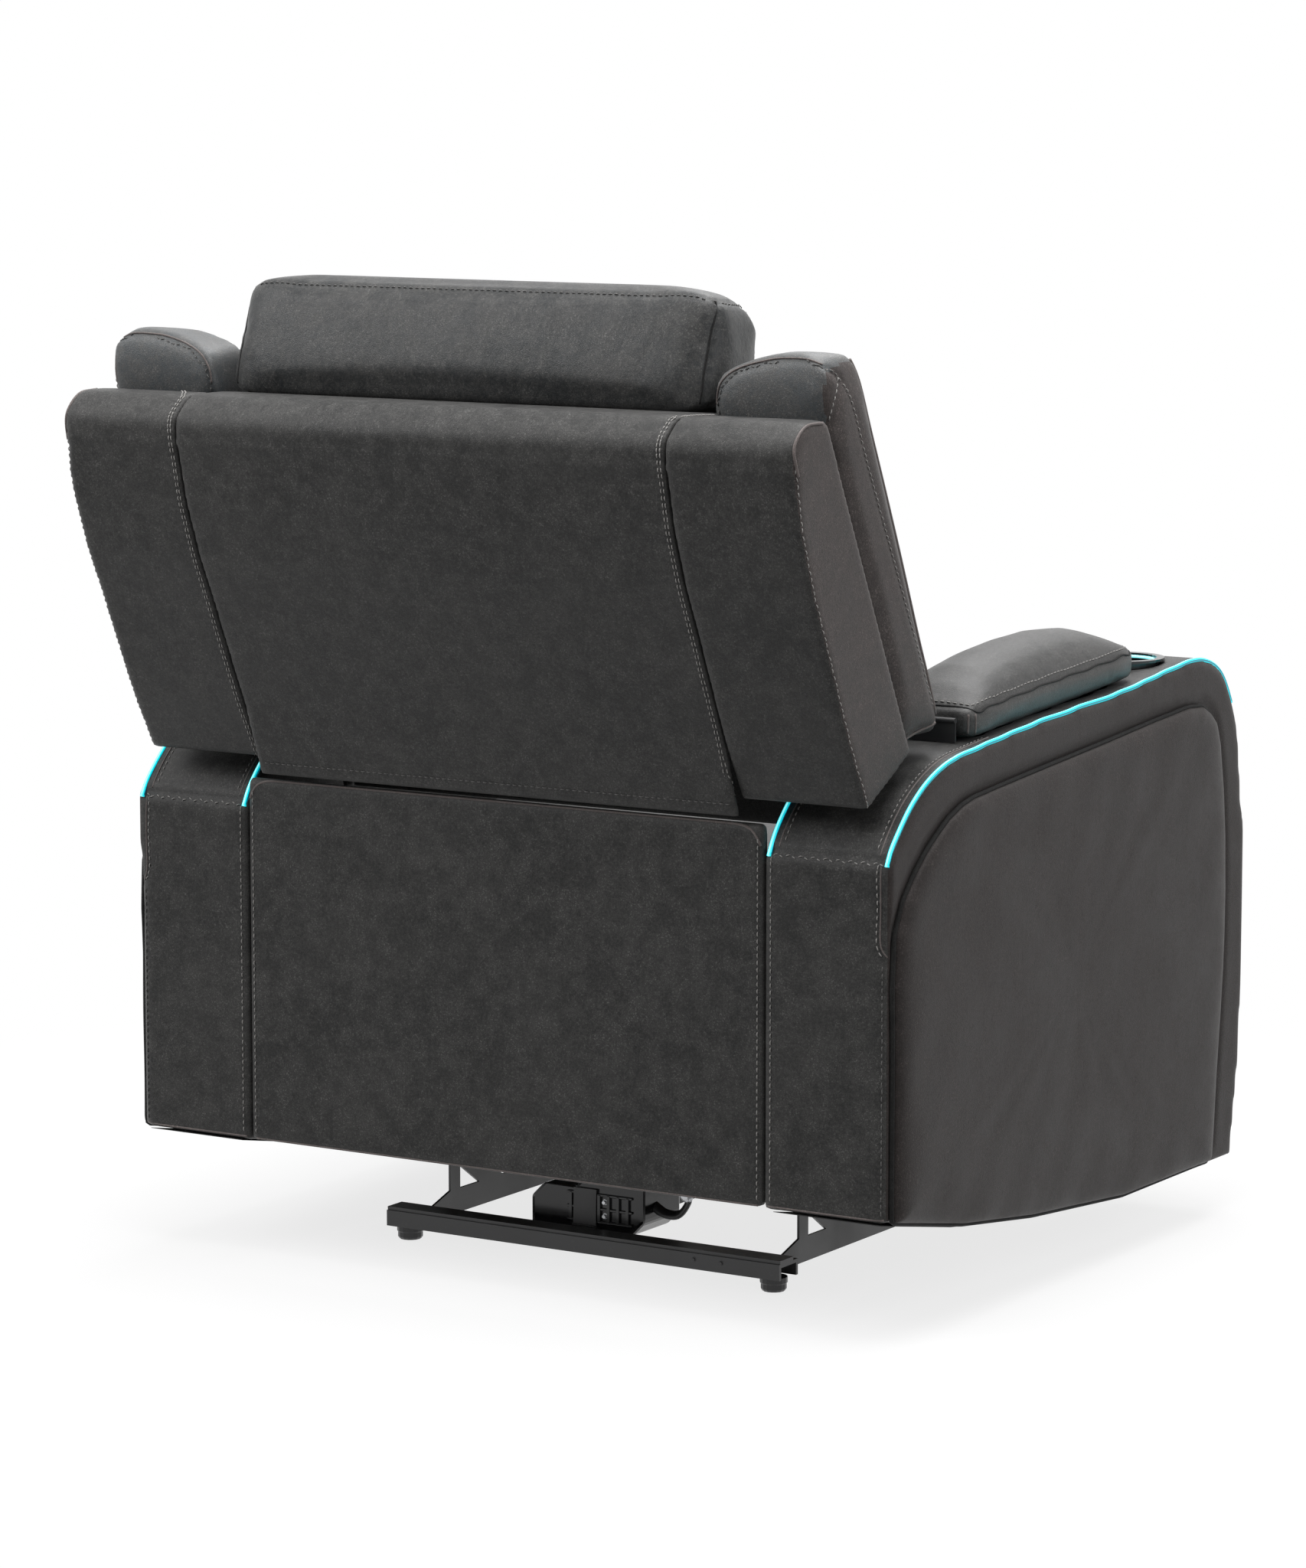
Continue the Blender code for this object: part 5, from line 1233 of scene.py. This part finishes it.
class RECLINER_OT_rear_panel(bpy.types.Operator):
    """Covers the rear panel of the base, with its piped top and sewn sides"""

    bl_idname = "recliner.rear_panel"
    bl_label = "Rear panel"

    def execute(self, context):
        panel = skin("rear_panel", "rear_panel_cover", 0.0045, 4)
        painted(panel, look("charcoal_leather"))
        fitted(panel, "chair_body", "leather", "rear_panel")
        corner = ((0.329, 0.522), (0.325, 0.534), (0.316, 0.5425), (0.300, 0.5445))
        top = [(-x, ARM_REAR - 0.001, z) for x, z in corner]
        top += [(-x, y, z) for x, y, z in reversed(top)]
        welted("rear_panel_top_welt", walk(top, 0.004), [panel], "chair_body", 0.0015, 0.0)
        for side, turned in SIDES.items():
            x = turned * ARM_INNER - 0.0070 + (-0.001 if turned > 0 else 0.014)
            row = [(x, ARM_REAR + 0.002, z) for z in np.linspace(0.530, SEAM_LOW, 120)]
            sewn(f"rear_panel_thread_{side}", row, [panel], "chair_body")
        hem = [(x, ARM_REAR - 0.002, HEM_UP) for x in np.linspace(-0.326, 0.326, 160)]
        welted("rear_panel_hem_welt", hem, [panel], "chair_body", 0.0013, 0.0)
        return {"FINISHED"}


class RECLINER_OT_console_lids(bpy.types.Operator):
    """Fills the console lids, with the welt round their gussets and the sewn corners"""

    bl_idname = "recliner.console_lids"
    bl_label = "Console lids"

    def execute(self, context):
        for side, turned in SIDES.items():
            node = f"console_lid_{side}"
            low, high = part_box(node)
            lid = skin(node, f"lid_cover_{side}", 0.0045, 3, 0.0010)
            filled(lid, 0.0025, 2.5, 12)
            painted(lid, look("soft_leather"))
            middle, half = (low.x + high.x) / 2, (high.x - low.x) / 2
            depths = np.linspace(low.y + 0.012, high.y - 0.012, 30)
            foot = underside(node, [(middle, y) for y in depths])
            out, back = (
                [(middle + way * turned * (half + 0.004), y, z + 0.0335) for _, y, z in foot]
                for way in (1, -1)
            )
            loop = curve_through(out[::3] + [out[-1]] + back[::-3] + [back[0]], 0.003, True)
            spots, _ = laid(loop, [lid])
            dent(lid, spots, 0.006, 0.0016)
            fitted(lid, f"lid_{side}", "leather", node)
            # The lid welt is near-black: painted shade in its seam
            name = f"lid_welt_{side}"
            welted(name, loop, [lid], f"lid_{side}", 0.0011, 0.0003, "groove_leather", True)
            row = [(x - np.sign(x - middle) * 0.006, y, z + 0.006) for x, y, z in spots]
            sewn(f"lid_thread_{side}", row, [lid], f"lid_{side}")
            for number, gap in enumerate((0.0, 0.009)):
                x, y = middle + turned * (half - 0.001 + 0.002 * number), high.y + 0.004 - gap * 1.6
                corner = [(x, y, foot[-1][2] + rise) for rise in np.linspace(0.003, 0.031, 10)]
                name = f"lid_corner_welt_{number + 1}_{side}"
                welted(name, corner, [lid], f"lid_{side}", 0.0013, 0.0)
        return {"FINISHED"}


class RECLINER_OT_light_strips(bpy.types.Operator):
    """Lights the strips along the arms and round the cup holders"""

    bl_idname = "recliner.light_strips"
    bl_label = "Light strips"
    HALF = 0.0026

    def bedded(self, crest, outward, arm):
        """The strip's middle line, sunk until it lies half in the arm's leather."""
        tree = tree_of(arm)
        line = []
        for point, way in zip(crest, outward):
            place = tree.ray_cast(Vector(point) + Vector(way) * 0.02, -Vector(way))[0]
            deep = self.HALF if place is None else (Vector(point) - place).dot(Vector(way)) - 0.0006
            line.append(point - way * max(self.HALF * 0.8, deep))
        line = np.array(line)
        for _ in range(10):
            line[1:-1] = (line[:-2] + 2 * line[1:-1] + line[2:]) / 4
        return line

    def execute(self, context):
        for side in SIDES:
            for place in ("inner", "outer"):
                node = f"light_{place}_{side}"
                low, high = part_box(node)
                middle = (low.x + high.x) / 2
                crest = around(node, middle, 8, 179, 500)
                outward = np.cross(np.gradient(crest, axis=0), (1.0, 0.0, 0.0))
                outward /= np.linalg.norm(outward, axis=1, keepdims=True)
                line = self.bedded(crest, outward, bpy.data.objects[f"arm_cover_{side}"])
                name = f"light_tube_{place}_{side}"
                strip = tube(name, line, self.HALF, look("lit_strip"), sides=20)
                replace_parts(fitted(strip, "chair_body", "light"), node)
            low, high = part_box(f"cup_holder_{side}")
            middle = np.array([(low.x + high.x) / 2, (low.y + high.y) / 2, high.z - 0.0040])
            ring = circle(middle, *np.eye(3)[:2], 0.0393, 72)
            glow = tube(f"cup_light_{side}", ring, 0.0016, look("lit_core"), closed=True)
            fitted(glow, "chair_body", "light")
        return {"FINISHED"}


class RECLINER_OT_cup_holders(bpy.types.Operator):
    """Finishes the cup holders in glossy moulded plastic, each with a rubber mat"""

    bl_idname = "recliner.cup_holders"
    bl_label = "Cup holders"
    RINGS, TURNS = 9, 48

    def execute(self, context):
        for side in SIDES:
            node = f"cup_holder_{side}"
            dressed(node, "gloss_plastic")
            low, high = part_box(node)
            middle = (low + high) / 2
            above = [(middle.x, middle.y, high.z + 0.1)]
            base = cast(above, [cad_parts[node]], (0, 0, -1))[0][2]
            points, radius = [], 0.0365
            for ring in range(self.RINGS + 1):
                size = radius * min(ring / (self.RINGS - 1), 1.0)
                rise = 0.0012 + (0.0008 if ring % 2 else 0.0) if ring < self.RINGS else 0.0001
                centre = np.array([middle.x, middle.y, base + rise])
                points += circle(centre, *np.eye(3)[:2], size, self.TURNS)
            faces = ringed(0, self.TURNS, self.RINGS + 1)
            faces.append(tuple(range(self.RINGS * self.TURNS, len(points))))
            mesh = mesh_of(f"cup_mat_{side}", points, faces)
            work = bmesh.new()
            work.from_mesh(mesh)
            bmesh.ops.remove_doubles(work, verts=work.verts, dist=1e-5)
            work.to_mesh(mesh)
            work.free()
            fitted(link(f"cup_mat_{side}", mesh, look("black_plastic")), "chair_body", "plastic")
        return {"FINISHED"}


class RECLINER_OT_dust_covers(bpy.types.Operator):
    """Stretches dust cloth under the arms"""

    bl_idname = "recliner.dust_covers"
    bl_label = "Dust covers"

    def execute(self, context):
        for side in SIDES:
            node = f"dust_cover_{side}"
            low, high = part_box(node)
            depth = np.linspace(low.y + 0.002, high.y - 0.002, 90)
            width = np.linspace(low.x + 0.002, high.x - 0.002, 16)
            foot = underside(node, [((low.x + high.x) / 2, y) for y in depth])
            points = []
            for _, y, z in foot:
                along = (y - low.y) / (high.y - low.y)
                for x in width:
                    across = (x - low.x) / (high.x - low.x)
                    slack = 16 * across * (1 - across) * along * (1 - along)
                    points.append((x, y, z + 0.0016 - 0.0014 * slack))
            wide, faces = len(width), []
            for row in range(len(foot) - 1):
                for here in range(row * wide, (row + 1) * wide - 1):
                    faces.append((here, here + 1, here + wide + 1, here + wide))
            name = f"dust_cloth_{side}"
            cloth = link(name, mesh_of(name, points, faces), look("dust_cloth"))
            thick = cloth.modifiers.new("thickness", "SOLIDIFY")
            thick.thickness, thick.offset = 0.0006, 0.0
            baked(cloth)
            fitted(cloth, "chair_body", "cloth", node)
        return {"FINISHED"}


# A bolt head: share of its height, and share of its radius
HEAD_RINGS = ((0.0, 1.0), (0.78, 1.0), (1.0, 0.84))


def hex_head(points, faces, place, way, radius, height, sides):
    """Adds a bolt head or nut with eased corners to a list of points and faces."""
    way = np.array(way, float) / np.linalg.norm(way)
    guide = np.cross(way, (0.3, 0.5, 0.81))
    guide /= np.linalg.norm(guide)
    shape = (len(points), sides, len(HEAD_RINGS))
    for rise, size in HEAD_RINGS:
        middle = np.array(place) + way * height * rise
        points += circle(middle, guide, np.cross(way, guide), radius * size, sides)
    faces += ringed(*shape) + ends_of(*shape)


def bolts(name, places, radius, height=0.0045, kind="plated_metal", sides=6):
    """One piece on the floor frame, made of bolt heads that each have a washer."""
    points, faces = [], []
    washer = height * 0.28
    for place, way in places:
        hex_head(points, faces, place, way, radius * 1.45, washer, 20)
        top = np.array(place) + np.array(way, float) * washer
        hex_head(points, faces, top, way, radius, height, sides)
    item = link(name, mesh_of(name, points, faces, smooth=False), look(kind))
    fitted(item, "floor_frame", "steel")


def both(*names):
    """The left and the right CAD node of each name."""
    return [f"{name}_{side}" for name in names for side in SIDES]


HARD_FINISHES = {
    "black_steel": (
        "rear_rail", "front_rail", "motor_bracket", "drive_rail", "seat_mechanism",
        "footrest_inner_links", "footrest_outer_links",
        *both("base_plate", "swing_link_rear", "swing_link_front", "back_plate"),
        *both("lid_hinge", "control_link", "board_link", "footrest_bracket"),
    ),
    "black_plastic": ("drive_block", "switch_plate", *both("foot_rear", "foot_front")),
    "gloss_plastic": ("motor_gearbox",),
    "frame_plywood": ("seat_frame", "footrest_board"),
    "plated_metal": ("button_open", "button_close"),
}


def slab(points, faces, low, high, ease=0.0006):
    """Adds a bar with eased outer edges, between two corners, to lists of points and faces."""
    low, high = np.array(low, float), np.array(high, float)
    start = len(points)
    for z, shrink in ((low[2], ease), (low[2] + ease, 0.0), (high[2] - ease, 0.0), (high[2], ease)):
        for x, y in (
            (low[0] + shrink, low[1] + shrink),
            (high[0] - shrink, low[1] + shrink),
            (high[0] - shrink, high[1] - shrink),
            (low[0] + shrink, high[1] - shrink),
        ):
            points.append((x, y, z))
    faces += ringed(start, 4, 4) + ends_of(start, 4, 4)


class RECLINER_OT_mechanism(bpy.types.Operator):
    """Finishes the steel mechanism, its wooden frame, feet, plates, links and bolts"""

    bl_idname = "recliner.mechanism"
    bl_label = "Mechanism and frame"

    def execute(self, context):
        for kind, nodes in HARD_FINISHES.items():
            for node in nodes:
                dressed(node, kind)
        low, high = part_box("rear_rail")
        middle = (low + high) / 2
        places = [((x, high.y, middle.z), (0, 1, 0)) for x in (-0.150, -0.185)]
        bolts("rail_screws", places, 0.0022, 0.0012, "black_steel", 12)
        places = [((x, middle.y, low.z), (0, 0, -1)) for x in (0.045, -0.030)]
        bolts("rail_studs", places, 0.0040, 0.0035)
        return {"FINISHED"}


class RECLINER_OT_motor(bpy.types.Operator):
    """Adds the gearbox's ribs, screws and hook lever"""

    bl_idname = "recliner.motor"
    bl_label = "Motor and gearbox"
    # The hook lever's path from the gearbox's lower rear corner
    LEVER = (
        (0.004, -0.026, 0.034), (-0.014, -0.024, 0.026), (-0.034, -0.022, 0.028),
        (-0.046, -0.022, 0.044), (-0.046, -0.022, 0.056),
    )

    def execute(self, context):
        low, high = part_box("motor_gearbox")
        rear = high.y
        points, faces, face = [], [], rear - 0.0004
        for number in range(7):
            x = low.x + 0.018 + 0.0125 * number
            upper = (x + 0.0035, rear + 0.0030, low.z + 0.044)
            slab(points, faces, (x, face, low.z + 0.012), upper)
        for height in (0.012, 0.026, 0.042):
            upper = (low.x + 0.100, rear + 0.0024, low.z + height + 0.0030)
            slab(points, faces, (low.x + 0.014, face, low.z + height), upper)
        mesh = mesh_of("gearbox_ribs", points, faces, smooth=False)
        fitted(link("gearbox_ribs", mesh, look("gloss_plastic")), "floor_frame", "plastic")
        heights = (low.z + 0.020, low.z + 0.036)
        places = [((low.x + 0.050, rear + 0.0004, height), (0, 1, 0)) for height in heights]
        bolts("gearbox_screws", places, 0.0024, 0.003, sides=16)
        lever = curve_through([(low.x + x, rear + y, low.z + z) for x, y, z in self.LEVER], 0.003)
        lever = tube("motor_lever", lever, 0.0062, look("black_steel"), sides=12, flat=0.55)
        fitted(lever, "floor_frame", "steel")
        tip = (low.x - 0.046, rear - 0.018, low.z + 0.052)
        bolts("motor_lever_nut", [(tip, (0, 1, 0))], 0.0060)
        return {"FINISHED"}


class RECLINER_OT_switch(bpy.types.Operator):
    """Adds the switch plate's light ring and the buttons' raised arrows"""

    bl_idname = "recliner.switch"
    bl_label = "Switch"

    def execute(self, context):
        for node, turned in (("button_open", -1.0), ("button_close", 1.0)):
            low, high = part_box(node)
            middle = (low + high) / 2
            points = [
                (high.x - 0.0002, middle.y + 0.0042 * along * turned, middle.z + 0.0042 * up)
                for along, up in ((-1, -1), (1, 0), (-1, 1))
            ]
            mark = tube(f"{node}_mark", walk(points, 0.001), 0.0006, look("black_plastic"))
            fitted(mark, node, "plastic")
        low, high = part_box("switch_plate")
        middle = (low + high) / 2
        half_y, half_z = (high.y - low.y) / 2 - 0.004, (high.z - low.z) / 2 - 0.004
        half = ((-1, -0.6), (-0.9, -1), (0, -1), (0.9, -1), (1, -0.6))
        ring = [(along, up) for along, up in half] + [(-along, -up) for along, up in half]
        ring = [(high.x, middle.y + along * half_y, middle.z + up * half_z) for along, up in ring]
        ring = curve_through(ring, 0.001, closed=True)
        light = tube("switch_light", ring, 0.0005, look("lit_strip"), closed=True)
        fitted(light, "chair_body", "light")
        return {"FINISHED"}


# The studio


def looking(name, data, place, ahead):
    """A lamp or a camera at a place, turned to look ahead."""
    holder = bpy.data.objects.new(name, data)
    bpy.context.scene.collection.objects.link(holder)
    holder.location = place
    holder.rotation_euler = ahead.to_track_quat("-Z", "Y").to_euler()
    return holder


class RECLINER_OT_stage(bpy.types.Operator):
    """Sets the pale floor, the soft lamps and the camera at the photograph's angle"""

    bl_idname = "recliner.stage"
    bl_label = "Studio"
    # The photograph's camera: the place it looks at, its turn and rise in degrees, its distance
    TARGET = (0.0149, -0.0007, 0.5203)
    TURN, RISE, DISTANCE = 211.9, 8.14, 6.074

    def execute(self, context):
        studio = context.scene.recliner_studio
        floor_mesh = bpy.data.meshes.new("studio_floor")
        work = bmesh.new()
        bmesh.ops.create_grid(work, x_segments=40, y_segments=40, size=20.0)
        work.to_mesh(floor_mesh)
        work.free()
        floor = link("studio_floor", floor_mesh, self.floor_surface(studio))
        self.sky(context, studio)
        for name, place, size, power in (
            ("side_lamp", (-3.8, 0.6, 2.4), (2.2, 2.2), studio.key_power),
            ("rear_lamp", (2.3, 2.6, 3.0), (2.6, 2.2), studio.rear_power),
            ("top_lamp", (-0.6, 0.4, 3.6), (2.4, 2.4), studio.top_power),
            ("front_lamp", (0.3, -2.4, 4.0), (2.4, 2.4), studio.front_power),
        ):
            lamp = bpy.data.lights.new(name, "AREA")
            lamp.shape, lamp.size, lamp.size_y, lamp.energy = "RECTANGLE", size[0], size[1], power
            looking(name, lamp, place, Vector((0, 0, 0.5)) - Vector(place))
        eye = bpy.data.cameras.new("photo_camera")
        eye.lens, eye.sensor_width, eye.clip_end = 123.4, 36.0, 60.0
        turn, rise = math.radians(self.TURN), math.radians(self.RISE)
        back = Vector(
            (math.sin(turn) * math.cos(rise), -math.cos(turn) * math.cos(rise), math.sin(rise))
        )
        place = Vector(self.TARGET) + back * self.DISTANCE
        context.scene.camera = looking("photo_camera", eye, place, -back)
        context.scene.view_settings.view_transform = "Standard"
        return {"FINISHED"}

    def floor_surface(self, studio):
        """Pale floor that fades to plain white away from the chair, as the camera sees it."""
        surface, tree, shader, place = fresh("studio_floor")
        seen = seen_rays(tree)
        pale = mixed(tree, noise(tree, place, 3, 3), tuple(studio.floor), (0.84, 0.84, 0.84))
        plug(tree, shader, {
            "Base Color": mixed(tree, seen, tuple(studio.bounce), pale),
            "Roughness": 0.9,
            "Specular IOR Level": 0.1,
        })
        reach = add(tree, "VectorMath", {0: place}, operation="LENGTH").outputs["Value"]
        fade = product(tree, seen, ramp(tree, product(tree, reach, 0.5), (0.25, 0.78), (0.75, 1.0)))
        white = add(tree, "Emission", {"Color": (1, 1, 1, 1), "Strength": 1.0}).outputs[0]
        mix = add(tree, "MixShader", {0: fade, 1: shader.outputs[0], 2: white})
        plug(tree, tree.nodes["Material Output"], {"Surface": mix.outputs[0]})
        return surface

    def sky(self, context, studio):
        """White for the camera and in reflections, plain grey light for everything else."""
        world = bpy.data.worlds.new("studio_sky")
        context.scene.world = world
        world.use_nodes = True
        tree = world.node_tree
        plain = tree.nodes["Background"]
        plug(tree, plain, {"Color": (1, 1, 1, 1), "Strength": studio.ambient})
        white = add(tree, "Background", {"Color": (1, 1, 1, 1), "Strength": 1.0}).outputs[0]
        mix = add(tree, "MixShader", {0: seen_rays(tree), 1: plain.outputs[0], 2: white})
        plug(tree, tree.nodes["World Output"], {"Surface": mix.outputs[0]})


# Settings, panel and the run


def colour_setting(name, description, default):
    """A colour that the user may change."""
    return FloatVectorProperty(
        name=name, description=description, subtype="COLOR", size=3, min=0, max=1, default=default
    )


def length_setting(name, description, default):
    """A length that the user may change."""
    return FloatProperty(
        name=name, description=description, unit="LENGTH", min=0.0001, max=0.05, default=default
    )


def strength_setting(name, description, default, top=500.0):
    """A strength or power that the user may change."""
    return FloatProperty(name=name, description=description, min=0.0, max=top, default=default)


class ReclinerLeather(bpy.types.PropertyGroup):
    """Colours and sewing of the upholstery"""

    back_colour: colour_setting(
        "Leather", "Charcoal leather of the back and seat", (0.0150, 0.0150, 0.0148)
    )
    back_worn: colour_setting(
        "Rubbed leather", "Paler charcoal where it is rubbed", (0.0480, 0.0470, 0.0455)
    )
    side_colour: colour_setting(
        "Side leather", "Brown-grey leather of the sides", (0.0310, 0.0263, 0.0252)
    )
    side_worn: colour_setting("Rubbed side leather", "Paler brown-grey", (0.0640, 0.0545, 0.0520))
    sheen_colour: colour_setting(
        "Pillow leather", "Cool leather of the headrest", (0.0210, 0.0240, 0.0262)
    )
    thread_colour: colour_setting("Thread", "Topstitching thread", (0.170, 0.163, 0.155))
    grain: length_setting("Grain", "Size of one pebble of the grain", 0.0019)
    stitch: length_setting("Stitch", "Length of one stitch", 0.0050)
    stitch_gap: length_setting("Stitch gap", "Space between two stitches", 0.0026)
    thread_radius: length_setting("Thread radius", "Half the thread's thickness", 0.00065)


class ReclinerLights(bpy.types.PropertyGroup):
    """Colours and strength of the light strips"""

    glow: colour_setting("Glow", "Colour of the strips", (0.005, 0.62, 0.70))
    core: colour_setting("Core", "Paler colour along the crest", (0.32, 0.95, 1.0))
    edge: colour_setting("Edge", "Dark foot of the diffuser", (0.0, 0.022, 0.065))
    strength: strength_setting("Strength", "Strength of the strips' light", 1.0, 20.0)


class ReclinerFrameFinish(bpy.types.PropertyGroup):
    """Colours of the frame, mechanism and fittings"""

    steel: colour_setting("Steel", "Powder coat on the steel", (0.010, 0.010, 0.011))
    plastic: colour_setting("Plastic", "Black plastic", (0.008, 0.008, 0.009))
    cloth: colour_setting("Dust cloth", "Cloth under the arms", (0.008, 0.008, 0.008))
    metal: colour_setting("Plated metal", "Nuts, screws and buttons", (0.60, 0.61, 0.63))


class ReclinerStudio(bpy.types.PropertyGroup):
    """Floor and lamps of the studio"""

    floor: colour_setting("Floor", "Colour of the floor", (0.80, 0.80, 0.80))
    bounce: colour_setting(
        "Floor bounce", "Colour of the light that the floor sends back", (0.30, 0.30, 0.30)
    )
    ambient: strength_setting("Ambient", "Plain light from all round", 0.24, 5.0)
    key_power: strength_setting("Side lamp", "Power of the lamp at the side", 50.0)
    rear_power: strength_setting("Rear lamp", "Power of the lamp behind the chair", 120.0)
    top_power: strength_setting("Top lamp", "Power of the lamp above", 140.0)
    front_power: strength_setting("Front lamp", "Power of the lamp before the chair", 80.0)


PIECE_OPERATORS = (
    RECLINER_OT_back_shell,
    RECLINER_OT_back_wings,
    RECLINER_OT_bolsters,
    RECLINER_OT_headrest,
    RECLINER_OT_back_cushions,
    RECLINER_OT_seat_cushion,
    RECLINER_OT_footrest_pad,
    RECLINER_OT_arms,
    RECLINER_OT_side_panels,
    RECLINER_OT_rear_panel,
    RECLINER_OT_console_lids,
    RECLINER_OT_light_strips,
    RECLINER_OT_cup_holders,
    RECLINER_OT_dust_covers,
    RECLINER_OT_mechanism,
    RECLINER_OT_motor,
    RECLINER_OT_switch,
    RECLINER_OT_stage,
)
SETTINGS = {
    "recliner_leather": ReclinerLeather,
    "recliner_lights": ReclinerLights,
    "recliner_frame_finish": ReclinerFrameFinish,
    "recliner_studio": ReclinerStudio,
}


class RECLINER_PT_pieces(bpy.types.Panel):
    """Lists the recliner's pieces and settings"""

    bl_label = "Recliner"
    bl_idname = "RECLINER_PT_pieces"
    bl_space_type = "VIEW_3D"
    bl_region_type = "UI"
    bl_category = "Recliner"

    def draw(self, context):
        for name, kind in SETTINGS.items():
            box = self.layout.box()
            for key in kind.__annotations__:
                box.prop(getattr(context.scene, name), key)
        for piece in PIECE_OPERATORS:
            self.layout.operator(piece.bl_idname)


def register():
    for kind in (*SETTINGS.values(), *PIECE_OPERATORS, RECLINER_PT_pieces):
        bpy.utils.register_class(kind)
    for name, kind in SETTINGS.items():
        setattr(bpy.types.Scene, name, PointerProperty(type=kind))


def unregister():
    for name in SETTINGS:
        delattr(bpy.types.Scene, name)
    for kind in reversed((*SETTINGS.values(), *PIECE_OPERATORS, RECLINER_PT_pieces)):
        bpy.utils.unregister_class(kind)


def main():
    """Registers the add-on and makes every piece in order."""
    register()
    for piece in PIECE_OPERATORS:
        group, name = piece.bl_idname.split(".")
        getattr(getattr(bpy.ops, group), name)()


if __name__ == "__main__":
    main()
